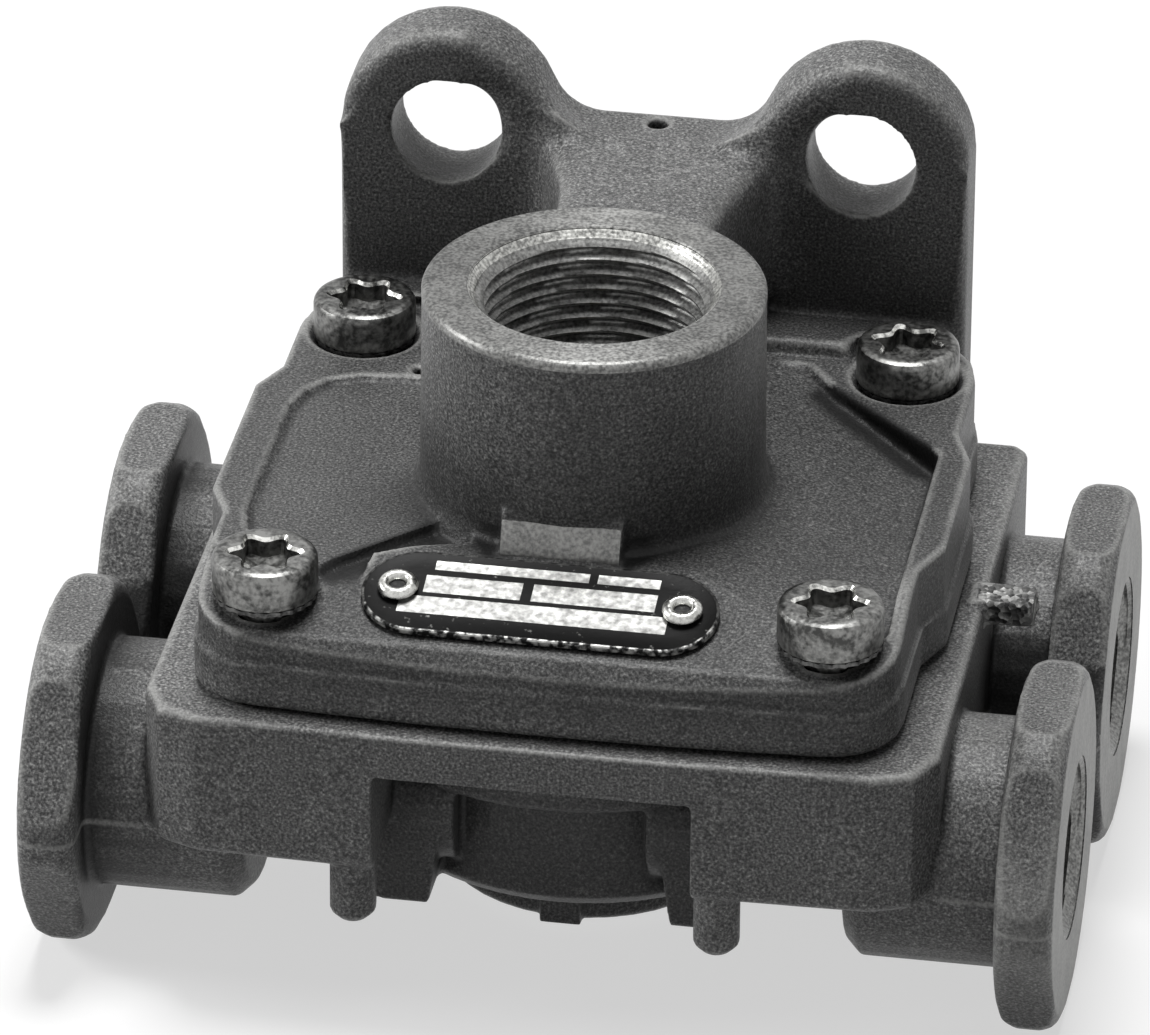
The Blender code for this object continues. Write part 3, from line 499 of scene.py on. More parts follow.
# the edge round each star recess: burnished zinc, made brighter as a painted highlight
ZINC_EDGE = ZincPlatedSteel("steel_zinc_burnished_edge_glint", "zinc_plated_steel", colour="#f2f2ee",
                            dull="#6a6a68", roughness=0.22)
RUBBED = ZincPlatedSteel("steel_phosphated_rubbed", "phosphated_steel", colour="#6a6a69",
                         dull="#2e2e2e", roughness=0.42)
PHOSPHATE = PhosphatedSteel("steel_phosphated_stamped", "phosphated_steel")
PRINTED = PrintedSheet("aluminium_sheet_anodised_printed", "anodised_sheet")
RIVET = TurnedMetal("aluminium_drawn_rivet", "drawn_aluminium", colour="#d2d2ce",
                    shade="#a8a8a5", ring_mm=0.6, roughness=0.26)
RUBBER = MouldedRubber("nitrile_rubber_moulded", "moulded_rubber")
SEAL = MouldedRubber("nitrile_rubber_seal", "seal_rubber", colour="#141415", bloom="#222223",
                     roughness=0.45)
BRASS = TurnedMetal("brass_turned", "turned_brass", colour="#8e7a50", shade="#65553a")
SPRING_WIRE = ZincPlatedSteel("spring_steel_drawn_wire", "spring_steel", colour="#9d9d9c",
                              dull="#6f6f70", grain_mm=0.35)


# mesh helpers


def link(name: str, mesh: bpy.types.Mesh, finishes: Sequence[Finish]) -> bpy.types.Object:
    """Makes an object of a mesh and gives it its materials.

    Args:
        name: the piece's name.
        mesh: its mesh, in metres, in the row frame.
        finishes: one finish for each material slot.

    Returns:
        The new object, at the origin.
    """
    mesh.name = name
    mesh.materials.clear()
    for finish in finishes:
        mesh.materials.append(finish.material())
    made = bpy.data.objects.new(name, mesh)
    bpy.context.scene.collection.objects.link(made)
    return made


def hand_over(piece: bpy.types.Object, nodes: Sequence[str] = (),
              body: Body = Body.VALVE) -> bpy.types.Object:
    """Tells the frame what a finished piece is.

    Args:
        piece: the piece.
        nodes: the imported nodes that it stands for.
        body: the body that it rides on.

    Returns:
        The piece.
    """
    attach(piece, body.value)
    if nodes:
        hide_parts(*nodes)
    return piece


def evaluated(obj: bpy.types.Object) -> bpy.types.Mesh:
    """Returns a new plain mesh with the object's modifiers applied."""
    bpy.context.view_layer.update()
    graph = bpy.context.evaluated_depsgraph_get()
    return bpy.data.meshes.new_from_object(obj.evaluated_get(graph), depsgraph=graph)


def settle(obj: bpy.types.Object) -> None:
    """Applies the object's modifiers and drops them."""
    old = obj.data
    mesh = evaluated(obj)
    obj.modifiers.clear()
    obj.data = mesh
    bpy.data.meshes.remove(old)


def cut_away(obj: bpy.types.Object, tool: bpy.types.Mesh, solver: str) -> None:
    """Cuts a closed tool out of a closed object.

    Args:
        obj: the object.
        tool: the tool's mesh, dropped afterwards.
        solver: Blender's name of the way to cut.
    """
    cutter = link("tool", tool, [])
    cut = obj.modifiers.new("cut", "BOOLEAN")
    cut.solver = solver
    cut.object = cutter
    settle(obj)
    bpy.data.objects.remove(cutter, do_unlink=True)
    bpy.data.meshes.remove(tool)


def merged_copy(node: str) -> bpy.types.Mesh:
    """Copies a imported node's mesh and joins its loose triangles."""
    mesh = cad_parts[node].data.copy()
    bm = bmesh.new()
    bm.from_mesh(mesh)
    bmesh.ops.remove_doubles(bm, verts=bm.verts, dist=0.002 * MM)
    bm.to_mesh(mesh)
    bm.free()
    if "sharp_face" in mesh.attributes:
        mesh.attributes.remove(mesh.attributes["sharp_face"])
    return mesh


def lofted(rings: Sequence[Sequence[Sequence[float]]], endless: bool = False) -> bpy.types.Mesh:
    """Joins rings of points into one closed skin.

    Args:
        rings: the points of each ring; a ring may be one point.
        endless: joins the last ring to the first, where both ends would else be capped.

    Returns:
        A closed mesh in the units of the points.
    """
    bm = bmesh.new()
    made = [[bm.verts.new(point) for point in ring] for ring in rings]
    pairs = list(zip(made, made[1:]))
    if endless:
        pairs.append((made[-1], made[0]))
    else:
        bm.faces.new(made[0])
        bm.faces.new(made[-1][::-1])
    for a, b in pairs:
        count = max(len(a), len(b))
        for k in range(count if count > 1 else 0):
            j = (k + 1) % count
            bm.faces.new(list(dict.fromkeys((a[k % len(a)], a[j % len(a)],
                                             b[j % len(b)], b[k % len(b)]))))
    bmesh.ops.recalc_face_normals(bm, faces=bm.faces)
    mesh = bpy.data.meshes.new("skin")
    bm.to_mesh(mesh)
    bm.free()
    return mesh


def turned(profile: Sequence[tuple[float, float]], segments: int = 64,
           place: Optional[Matrix] = None) -> bpy.types.Mesh:
    """Turns a closed profile about an axis.

    Args:
        profile: (radius, height) points in millimetres, round the closed section.
        segments: facets round the axis.
        place: where the profile's origin goes, or none for the datum.

    Returns:
        A closed mesh in metres.
    """
    angles = [2 * math.pi * k / segments for k in range(segments)]
    rings = [[(radius * math.cos(a), radius * math.sin(a), height) for a in angles]
             if radius else [(0.0, 0.0, height)] for radius, height in profile]
    mesh = lofted(rings, endless=True)
    mesh.transform((DATUM.at() if place is None else place) @ Matrix.Scale(MM, 4))
    return mesh


def joined(meshes: Sequence[bpy.types.Mesh]) -> bpy.types.Mesh:
    """Puts several meshes into one and drops them."""
    bm = bmesh.new()
    for mesh in meshes:
        bm.from_mesh(mesh)
        bpy.data.meshes.remove(mesh)
    out = bpy.data.meshes.new("joined")
    bm.to_mesh(out)
    bm.free()
    return out


def smooth_shade(mesh: bpy.types.Mesh, degrees: float) -> None:
    """Shades a mesh smooth, with sharp edges kept past an angle."""
    mesh.shade_smooth()
    mesh.set_sharp_from_angle(angle=math.radians(degrees))


def slab(xs: tuple[float, float], ys: tuple[float, float],
         zs: tuple[float, float]) -> bpy.types.Mesh:
    """Makes a closed box between two corners counted from the datum, in millimetres."""
    low = DATUM.point(min(xs), min(ys), min(zs))
    high = DATUM.point(max(xs), max(ys), max(zs))
    bm = bmesh.new()
    bmesh.ops.create_cube(bm, size=1.0)
    bmesh.ops.scale(bm, vec=high - low, verts=bm.verts)
    bmesh.ops.translate(bm, vec=(low + high) / 2, verts=bm.verts)
    mesh = bpy.data.meshes.new("slab")
    bm.to_mesh(mesh)
    bm.free()
    return mesh


class PointCloud:
    """A mesh's points and edges as arrays."""

    def __init__(self, mesh: bpy.types.Mesh) -> None:
        """Reads a mesh."""
        self.count = len(mesh.vertices)
        co = np.empty(self.count * 3)
        mesh.vertices.foreach_get("co", co)
        self.co = co.reshape(-1, 3)
        edges = np.empty(len(mesh.edges) * 2, np.int64)
        mesh.edges.foreach_get("vertices", edges)
        self.use(edges.reshape(-1, 2).T)

    def use(self, ends: np.ndarray) -> None:
        """Takes the edges to count with, as rows of first and of second points."""
        self.ends = ends
        a, b = (np.bincount(row, minlength=self.count) for row in ends)
        self.links = np.maximum(a + b, 1)

    def gather(self, from_a: Any, from_b: Any) -> np.ndarray:
        """Averages over each point's edges what each edge says at its two ends.

        Args:
            from_a: what each edge adds to its first point.
            from_b: what each edge adds to its second point.

        Returns:
            One mean for each point.
        """
        a, b = self.ends
        total = np.bincount(a, from_a, self.count) + np.bincount(b, from_b, self.count)
        return total / self.links


@dataclass
class CastShell:
    """A packed casting turned into one with the soft fillets of a die casting.

    Zones are the x0, x1, y0, y1, z0, z1 of boxes in which the edges flow into each other. Shade
    and highlight lines are the x0, y0, x1, y1, z_low, z_high, half width and depth of lines of
    painted shade, with a depth below zero for a painted highlight. Both are counted from the datum, in
    millimetres.
    """

    node: str
    zones: tuple[tuple[float, ...], ...]
    shade_and_highlight_lines: tuple[tuple[float, ...], ...]
    voxel_mm: float = 0.34
    rounds: int = 2
    faces: int = 180_000
    melt_rounds: int = 110
    fade_mm: float = 2.0
    reach_mm: float = 0.9
    blur: int = 2

    def melt(self, mesh: bpy.types.Mesh) -> None:
        """Softens the mesh inside the zones; outside them the softening fades out.

        Args:
            mesh: the casting's mesh, evenly divided.
        """
        cloud = PointCloud(mesh)
        spot = DATUM.count(cloud.co)
        weight = np.zeros(cloud.count)
        for zone in self.zones:
            low, high = np.array(zone[0::2]), np.array(zone[1::2])
            off = np.linalg.norm(np.maximum(np.maximum(low - spot, spot - high), 0.0), axis=1)
            weight = np.maximum(weight, np.clip(1 - off / self.fade_mm, 0, 1))
        cloud.use(cloud.ends[:, (weight[cloud.ends] > 0).any(axis=0)])
        a, b = cloud.ends
        for _ in range(self.melt_rounds):
            near = np.stack([cloud.gather(cloud.co[b, k], cloud.co[a, k]) for k in range(3)], axis=1)
            cloud.co += (0.5 * weight)[:, None] * (near - cloud.co)
        mesh.vertices.foreach_set("co", cloud.co.ravel())
        mesh.update()

    def mark_rims_light_and_shade(self, mesh: bpy.types.Mesh) -> None:
        """Writes to rim_wear_light_shade how convex each point is: 0.5 on a flat, less in hollows and along
        the lines of painted shade, more on rims, with rims that face up raised further as a painted
        highlight.

        Args:
            mesh: the casting's mesh, smooth and evenly divided.
        """
        cloud = PointCloud(mesh)
        normal = np.empty(cloud.count * 3, np.float32)
        mesh.vertex_normals.foreach_get("vector", normal)
        normal = normal.reshape(-1, 3).astype(float)
        a, b = cloud.ends
        step = cloud.co[b] - cloud.co[a]
        length = np.maximum((step ** 2).sum(axis=1), 1e-14)
        bend = cloud.gather(-(step * normal[a]).sum(axis=1) * 2 / length,
                            (step * normal[b]).sum(axis=1) * 2 / length)
        value = np.clip(bend * self.reach_mm * MM, -1, 1)
        for _ in range(self.blur):
            value = 0.5 * value + 0.5 * cloud.gather(value[b], value[a])
        # painted highlight: convex rims that face up count as more convex
        upward = np.clip(0.45 + 1.7 * normal[:, 2], 0.35, 1.9)
        value = 0.5 + 0.5 * np.where(value > 0, np.clip(value * upward, 0, 1), value)
        spot = DATUM.count(cloud.co)
        # painted shade along each listed line; a depth below zero makes a painted highlight
        for x0, y0, x1, y1, z_low, z_high, half, depth in self.shade_and_highlight_lines:
            way = np.array((x1 - x0, y1 - y0))
            along = np.clip(((spot[:, :2] - (x0, y0)) @ way) / (way @ way), 0, 1)
            off = np.linalg.norm(spot[:, :2] - (x0, y0) - along[:, None] * way, axis=1)
            inside = (spot[:, 2] > z_low) & (spot[:, 2] < z_high)
            value = value * (1 - np.clip(1.5 - off / half, 0, 1) * inside * depth)
        out = mesh.attributes.new("rim_wear_light_shade", "FLOAT", "POINT")
        out.data.foreach_set("value", value.astype(np.float32))

    def build(self, tools: Sequence[bpy.types.Mesh],
              extras: Sequence[bpy.types.Mesh] = ()) -> bpy.types.Object:
        """Rounds every edge, thins the mesh and cuts the machined bores.

        Args:
            tools: closed meshes to cut away afterwards.
            extras: closed meshes that grow into the casting beforehand.

        Returns:
            The casting as one object.
        """
        obj = link(self.node + "_casting", joined([merged_copy(self.node), *extras]), [CAST])
        grid = obj.modifiers.new("cells", "REMESH")
        grid.mode = "VOXEL"
        grid.voxel_size = self.voxel_mm * MM
        soft = obj.modifiers.new("fillets", "SMOOTH")
        soft.factor = 0.5
        soft.iterations = self.rounds
        settle(obj)
        if self.zones:
            self.melt(obj.data)
        count = sum(len(p.vertices) - 2 for p in obj.data.polygons)
        if count > self.faces:
            thin = obj.modifiers.new("thin", "DECIMATE")
            thin.ratio = self.faces / count
            settle(obj)
        for tool in tools:
            cut_away(obj, tool, "MANIFOLD")
        mesh = obj.data
        mesh.materials.clear()
        mesh.materials.append(CAST.material())
        self.mark_rims_light_and_shade(mesh)
        smooth_shade(mesh, 48.0)
        LOG.info("%s: %d triangles before, %d faces now", self.node, count, len(mesh.polygons))
        return obj


# geometry node trees


class Growth:
    """A geometry tree with named sizes; each kind adds its own nodes in shape."""

    sizes: dict[str, Any] = {}

    def __init__(self) -> None:
        """Builds the tree: inputs, own nodes, Realize Instances and Set Material."""
        self.tree = bpy.data.node_groups.new(type(self).__name__, "GeometryNodeTree")
        kinds = {int: "NodeSocketInt", float: "NodeSocketFloat", tuple: "NodeSocketVector"}
        sockets = self.tree.interface
        for way in ("INPUT", "OUTPUT"):
            sockets.new_socket("Geometry", in_out=way, socket_type="NodeSocketGeometry")
        self.names = {}
        for label, value in self.sizes.items():
            socket = sockets.new_socket(label, in_out="INPUT", socket_type=kinds[type(value)])
            socket.default_value = value
            self.names[label] = socket.identifier
        socket = sockets.new_socket("Material", in_out="INPUT", socket_type="NodeSocketMaterial")
        self.names["Material"] = socket.identifier
        given = add(self.tree, "NodeGroupInput").outputs
        plain = add(self.tree, "GeometryNodeRealizeInstances", {"Geometry": self.shape(given)})
        dressed = add(self.tree, "GeometryNodeSetMaterial",
                      {"Geometry": plain, "Material": given["Material"]})
        feed(add(self.tree, "NodeGroupOutput"), {0: dressed})

    def shape(self, given: Any) -> bpy.types.Node:
        """Adds the nodes of this kind and returns the last one."""
        raise NotImplementedError

    def run(self, finish: Finish, sizes: dict[str, Any],
            base: Optional[bpy.types.Mesh] = None) -> bpy.types.Mesh:
        """Runs the tree on a scratch object.

        Args:
            finish: the finish of what it makes.
            sizes: the value of each named input.
            base: the mesh that the tree starts from, or none.

        Returns:
            The plain mesh that the tree makes.
        """
        obj = link("scratch", base or bpy.data.meshes.new("scratch"), [])
        modifier = obj.modifiers.new("grow", "NODES")
        modifier.node_group = self.tree
        for label, value in {**sizes, "Material": finish.material()}.items():
            modifier[self.names[label]] = value
        obj.update_tag()
        settle(obj)
        mesh = obj.data
        bpy.data.objects.remove(obj, do_unlink=True)
        return mesh


class ThreadedSleeve(Growth):
    """A closed sleeve whose inner wall follows a helix, its mouth at the origin, its bore below."""

    sizes = {"Segments": 72, "Rows": 80, "Minor Radius": 0.01, "Major Radius": 0.011,
             "Outer Radius": 0.0116, "Mouth Radius": 0.0118, "Length": 0.016, "Pitch": 0.0015}
    # each step makes a value from one or two others; the sums with t clamp it between 0 and 1
    steps = (
        ("across", "ADD", "Segments", 1.0), ("down", "ADD", "Rows", 3.0),
        ("last", "ADD", "Rows", 2.0), ("turn", "ADD", "x", 0.5), ("share", "ADD", "y", 0.5),
        ("row", "MULTIPLY", "share", "last"), ("row", "ROUND", "row"),
        ("inner rows", "SUBTRACT", "Rows", 1.0), ("t", "SUBTRACT", "row", 1.0),
        ("t", "DIVIDE", "t", "inner rows"), ("t", "MAXIMUM", "t", 0.0), ("t", "MINIMUM", "t", 1.0),
        ("end", "SUBTRACT", "last", 0.5), ("back", "LESS_THAN", "row", "end"),
        ("depth", "MULTIPLY", "t", "Length"), ("depth", "MULTIPLY", "depth", "back"),
        ("phase", "DIVIDE", "depth", "Pitch"), ("phase", "SUBTRACT", "phase", "turn"),
        ("phase", "FRACT", "phase"), ("wave", "MULTIPLY", "phase", 2.0),
        ("wave", "SUBTRACT", "wave", 1.0), ("wave", "ABSOLUTE", "wave"),
        ("flat", "MULTIPLY", "wave", 1.45), ("flat", "SUBTRACT", "flat", 0.2),
        ("flat", "MAXIMUM", "flat", 0.0), ("flat", "MINIMUM", "flat", 1.0),
        ("ridge", "SUBTRACT", "Major Radius", "Minor Radius"), ("cut", "MULTIPLY", "flat", "ridge"),
        ("inner", "ADD", "Minor Radius", "cut"), ("cone", "SUBTRACT", "Mouth Radius", "depth"),
        ("inner", "MAXIMUM", "inner", "cone"), ("first", "LESS_THAN", "row", 0.5),
        ("limit", "ADD", "Rows", 0.5), ("beyond", "GREATER_THAN", "row", "limit"),
        ("outside", "MAXIMUM", "first", "beyond"), ("inside", "SUBTRACT", 1.0, "outside"),
        ("inner", "MULTIPLY", "inner", "inside"), ("outer", "MULTIPLY", "Outer Radius", "outside"),
        ("radius", "ADD", "inner", "outer"), ("angle", "MULTIPLY", "turn", 2 * math.pi),
        ("X", "COSINE", "angle"), ("X", "MULTIPLY", "X", "radius"), ("Y", "SINE", "angle"),
        ("Y", "MULTIPLY", "Y", "radius"), ("Z", "MULTIPLY", "depth", -1.0))

    def shape(self, given: Any) -> bpy.types.Node:
        """Bends a flat grid into the sleeve, one column for each segment.

        Args:
            given: the tree's input sockets.

        Returns:
            The last node.
        """
        spot = add(self.tree, "ShaderNodeSeparateXYZ",
                   {"Vector": add(self.tree, "GeometryNodeInputPosition")}).outputs
        known = {**{label: given[label] for label in self.sizes}, "x": spot["X"], "y": spot["Y"]}
        for name, mode, *terms in self.steps:
            known[name] = add(self.tree, "ShaderNodeMath",
                              {i: known.get(term, term) for i, term in enumerate(terms)},
                              operation=mode)
        grid = add(self.tree, "GeometryNodeMeshGrid", {"Size X": 1.0, "Size Y": 1.0,
                                                       "Vertices X": known["across"],
                                                       "Vertices Y": known["down"]})
        place = add(self.tree, "ShaderNodeCombineXYZ", {key: known[key] for key in "XYZ"})
        moved = add(self.tree, "GeometryNodeSetPosition", {"Geometry": grid, "Position": place})
        return add(self.tree, "GeometryNodeMergeByDistance",
                   {"Geometry": moved, "Distance": 0.004 * MM})


class FourCorners(Growth):
    """Sets a fastener at the four corners of the cover, each turned its own way."""

    sizes = {"Across": 0.05, "Deep": 0.05, "Middle": (0.0, 0.0, 0.0), "Rear Lift": 0.0, "Seed": 7}

    def shape(self, given: Any) -> bpy.types.Node:
        """Places instances of the base mesh on the corners of a grid.

        Args:
            given: the tree's input sockets.

        Returns:
            The last node.
        """
        grid = add(self.tree, "GeometryNodeMeshGrid", {"Size X": given["Across"],
                                                       "Size Y": given["Deep"], "Vertices X": 2,
                                                       "Vertices Y": 2})
        spot = add(self.tree, "ShaderNodeSeparateXYZ",
                   {"Vector": add(self.tree, "GeometryNodeInputPosition")}).outputs
        rear = add(self.tree, "ShaderNodeMath", {0: spot["Y"], 1: 0.0}, operation="GREATER_THAN")
        lift = add(self.tree, "ShaderNodeMath", {0: rear, 1: given["Rear Lift"]},
                   operation="MULTIPLY")
        shift = add(self.tree, "ShaderNodeCombineXYZ", {"Z": lift})
        offset = add(self.tree, "ShaderNodeVectorMath", {0: shift, 1: given["Middle"]},
                     operation="ADD")
        points = add(self.tree, "GeometryNodeSetPosition", {"Geometry": grid, "Offset": offset})
        turn = add(self.tree, "FunctionNodeRandomValue",
                   {"Min": (0.0, 0.0, 0.0), "Max": (0.0, 0.0, 6.283), "Seed": given["Seed"]},
                   data_type="FLOAT_VECTOR")
        return add(self.tree, "GeometryNodeInstanceOnPoints",
                   {"Points": points, "Instance": given["Geometry"], "Rotation": turn})


class Coil(Growth):
    """A wire that climbs in a helix."""

    sizes = {"Turns": 5.5, "Radius": 0.0039, "Height": 0.009, "Wire": 0.0004}

    def shape(self, given: Any) -> bpy.types.Node:
        """Sweeps a small circle along a spiral.

        Args:
            given: the tree's input sockets.

        Returns:
            The last node.
        """
        path = add(self.tree, "GeometryNodeCurveSpiral",
                   {"Resolution": 40, "Rotations": given["Turns"], "Start Radius": given["Radius"],
                    "End Radius": given["Radius"], "Height": given["Height"]})
        ring = add(self.tree, "GeometryNodeCurvePrimitiveCircle",
                   {"Resolution": 12, "Radius": given["Wire"]})
        return add(self.tree, "GeometryNodeCurveToMesh",
                   {"Curve": path, "Profile Curve": ring, "Fill Caps": True})


# sub-assemblies


@dataclass(frozen=True)
class Bore:
    """The radii and the length of a tapped bore, in millimetres."""

    minor: float
    major: float
    outer: float
    mouth: float
    length: float

    def clearing(self, low: float, high: float, segments: int = 64,
                 place: Optional[Matrix] = None) -> bpy.types.Mesh:
        """Makes the tool that clears room for the sleeve between two heights."""
        reach = self.outer - 0.02
        return turned([(0, low), (reach, low), (reach, high), (0, high)], segments, place)


@dataclass
class Threads:
    """The tapped ports, cut as sleeves that line their bores."""

    supply: Bore = Bore(minor=10.2, major=11.05, outer=11.7, mouth=11.8, length=15.8)
    delivery: Bore = Bore(minor=7.2, major=8.0, outer=8.6, mouth=8.3, length=15.4)
    exhaust: Bore = Bore(minor=10.2, major=11.05, outer=11.7, mouth=11.8, length=9.7)
    pitch: float = 1.5
    port_pitch: float = 34.6
    face_x: float = 48.3
    boss_top: float = 45.3
    collar_bottom: float = -14.8
    sunk: float = 0.15
    chamfer_depth: float = 0.9

    def ports(self, reach: float = 0.0) -> list[Matrix]:
        """Returns the place of each delivery port, so far out along its own axis."""
        return [DATUM.at(side * reach, y, 0, 90 * side, "Y")
                for side, y in product((-1, 1), (-self.port_pitch / 2, self.port_pitch / 2))]

    def sleeve(self, tree: ThreadedSleeve, bore: Bore, place: Matrix) -> bpy.types.Mesh:
        """Makes one threaded sleeve.

        Args:
            tree: the geometry tree to run.
            bore: its sizes.
            place: where its mouth goes.

        Returns:
            The sleeve's mesh.
        """
        mesh = tree.run(TAPPED, {
            "Segments": 88, "Rows": int(bore.length / self.pitch * 10),
            "Minor Radius": bore.minor * MM, "Major Radius": bore.major * MM,
            "Outer Radius": bore.outer * MM, "Mouth Radius": bore.mouth * MM,
            "Length": bore.length * MM, "Pitch": self.pitch * MM})
        bm = bmesh.new()
        bm.from_mesh(mesh)
        bmesh.ops.recalc_face_normals(bm, faces=bm.faces)
        bm.to_mesh(mesh)
        bm.free()
        mesh.transform(place)
        return mesh

    def build(self) -> None:
        """Makes the supply, delivery and exhaust threads."""
        tree = ThreadedSleeve()
        chamfer_z = DATUM.point(0, 0, self.boss_top - self.chamfer_depth).z
        for name, bore, places in (
                ("supply_thread", self.supply, [DATUM.at(z=self.boss_top - self.sunk)]),
                ("delivery_threads", self.delivery, self.ports(self.face_x - 0.12)),
                ("exhaust_thread", self.exhaust,
                 [DATUM.at(0, 0, self.collar_bottom + self.sunk, 180, "X")])):
            mesh = joined([self.sleeve(tree, bore, place) for place in places])
            smooth_shade(mesh, 40.0)
            hand_over(link(name, mesh, [TAPPED, FRESH_CUT_HIGHLIGHT]))
            # the chamfer at the supply port's mouth gets the brighter finish, partly a painted highlight
            for polygon in mesh.polygons:
                polygon.material_index = int(bore is self.supply and polygon.center.z > chamfer_z)


@dataclass
class LowerHousing:
    """The lower casting with its port flanges, tubes, pins and exhaust collar.

    The lug is the stub of the gate between the right necks; webs are the inner ribs' sides towards
    the locating pins.
    """

    threads: Threads
    lug_x: tuple[float, float] = (37.05, 42.2)
    lug_y: tuple[float, float] = (0.2, 5.3)
    lug_z: float = 12.0
    tear: float = 0.4
    web_x: tuple[float, float] = (15.4, 16.8)
    web_y: tuple[float, float] = (14.5, 23.2)
    web_z: tuple[float, float] = (-8.9, 4.0)
    # painted shade between the necks, at the left hexes' inner faces and on the belly front; the lines with
    # a depth below zero are painted highlights on the right front neck and hex
    shade_and_highlight_lines: tuple[tuple[float, ...], ...] = (
        (38.0, 3.5, 44.0, 3.5, -12.0, 7.4, 6.0, 0.9),
        (-38.0, 3.5, -44.0, 3.5, -12.0, 7.4, 6.0, 0.9),
        (-42.3, -30.0, -42.3, 30.0, -20.0, 20.0, 1.1, 0.75),
        (37.0, -17.3, 40.6, -17.3, 5.0, 13.0, 5.5, -0.42),
        (42.5, -34.0, 48.3, -34.0, -10.0, 10.0, 4.0, -0.38),
        (-13.0, -22.0, 13.0, -22.0, -16.0, 8.4, 5.5, 0.5))

    def build(self) -> None:
        """Builds the casting and gives its machined and torn places their own finish."""
        t = self.threads
        tools = [t.delivery.clearing(31.0, 50.0, place=place) for place in t.ports()]
        tools.append(t.exhaust.clearing(t.collar_bottom - 2, -5.2))
        webs = [slab(tuple(side * x for x in self.web_x), tuple(end * y for y in self.web_y),
                     self.web_z) for side, end in product((-1, 1), (-1, 1))]
        obj = CastShell("lower_housing", (), self.shade_and_highlight_lines).build(tools, webs)
        mesh = obj.data
        start = self.lug_x[0] + 0.25
        for vertex in mesh.vertices:
            x, y, z = DATUM.count(vertex.co)
            if x > start and z > self.lug_z - 1 and self.lug_y[0] < y < self.lug_y[1]:
                size = min(1.0, (x - start) / 0.6) * self.tear
                vertex.co += noise.noise_vector(vertex.co / MM * 1.1) * size * MM
        mesh.materials.append(FACED.material())
        mesh.materials.append(TORN.material())
        for polygon in mesh.polygons:
            x, y, z = DATUM.count(polygon.center)
            on_port = abs(x) > t.face_x - 0.25 and abs(polygon.normal.x) > 0.95
            on_collar = z < t.collar_bottom + 0.2 and polygon.normal.z < -0.95
            if on_port or on_collar:
                polygon.material_index = 1
            elif (self.lug_x[0] < x < self.lug_x[1] and z > self.lug_z
                  and self.lug_y[0] + 0.1 < y < self.lug_y[1] - 0.1):
                polygon.material_index = 2
        hand_over(obj, ["lower_housing"])


@dataclass
class Cover:
    """The upper casting with the supply boss, the web and both ears."""

    threads: Threads
    boss_r: float = 16.0
    band: float = 0.9
    pad_x: tuple[float, float] = (-5.75, 5.35)
    zones: tuple[tuple[float, ...], ...] = ((7.0, 13.5, 19.0, 35.5, 30.0, 52.0),
                                            (-13.5, -7.0, 19.0, 35.5, 30.0, 52.0),
                                            (10.0, 16.5, 31.0, 35.5, 45.5, 52.0),
                                            (-16.5, -10.0, 31.0, 35.5, 45.5, 52.0))
    # painted shade along the step walls of the left and right fields, round the foot of the boss and beside
    # its pad
    shade_and_highlight_lines: tuple[tuple[float, ...], ...] = (
        (-20.9, -20.4, -12.9, -12.2, 22.5, 24.6, 2.1, 1.0),
        (-21.0, -20.2, -12.9, -11.8, 22.5, 25.1, 0.8, 1.0),
        (-12.9, -12.0, -9.5, -11.6, 22.5, 24.9, 1.2, 0.7),
        (29.4, 10.7, 19.3, 20.2, 22.0, 25.0, 1.9, 1.0),
        (29.8, 11.0, 19.6, 20.6, 22.0, 25.7, 0.8, 1.0),
        (30.9, 9.6, 30.9, -7.0, 20.0, 24.6, 0.35, 0.8),
        (-14.5, -7.0, -8.0, -14.0, 22.0, 36.0, 5.0, 0.12),
        (-14.5, -7.0, -8.0, -14.0, 22.0, 33.5, 5.0, 0.14),
        (-14.5, -7.0, -8.0, -14.0, 22.0, 31.0, 5.0, 0.16),
        (8.0, -14.0, 15.0, -5.0, 22.0, 32.0, 4.0, 0.2),
        (-6.4, -17.0, -7.4, -14.9, 23.0, 27.0, 1.1, 0.8),
        (6.1, -17.0, 7.2, -14.9, 23.0, 27.0, 1.1, 0.8))

    def build(self) -> None:
        """Builds the casting, the turned end of its boss and the pad at its foot."""
        bore, top, r = self.threads.supply, self.threads.boss_top, self.boss_r
        cut_z = top - self.band
        tools = [turned([(0, cut_z), (20, cut_z), (20, 47), (0, 47)]), bore.clearing(29.2, 46, 96)]
        hand_over(CastShell("cover", self.zones, self.shade_and_highlight_lines).build(tools), ["cover"])
        ring = turned([(bore.outer - 0.01, cut_z - 0.02), (r + 0.02, cut_z - 0.02),
                       (r + 0.02, top - 0.45), (r - 0.12, top - 0.2), (r - 0.42, top - 0.02),
                       (r - 0.7, top), (bore.mouth + 0.1, top), (bore.mouth - 0.05, top - 0.14),
                       (bore.outer - 0.01, top - 0.2)], 128)
        smooth_shade(ring, 30.0)
        hand_over(link("supply_port_face", ring, [SWIRLED]))
        # the pad's lighter turned finish is a painted highlight where the boss's shadow falls
        hand_over(link("boss_foot_pad_highlight", self.foot_pad(), [FACED]))

    def foot_pad(self) -> bpy.types.Mesh:
        """Makes the pad that slopes from the foot of the boss towards the plate; its lighter turned finish
        is a painted highlight.
        """
        r = self.boss_r
        side = [(-r + 3.0, 25.3), (-r - 1.3, 25.3), (-r - 1.42, 25.45), (-r - 1.4, 25.75),
                (-r - 0.12, 28.4), (-r + 0.1, 28.5), (-r + 3.0, 28.5)]
        mesh = lofted([[DATUM.point(x, y, z) for y, z in side] for x in self.pad_x])
        smooth_shade(mesh, 40.0)
        return mesh


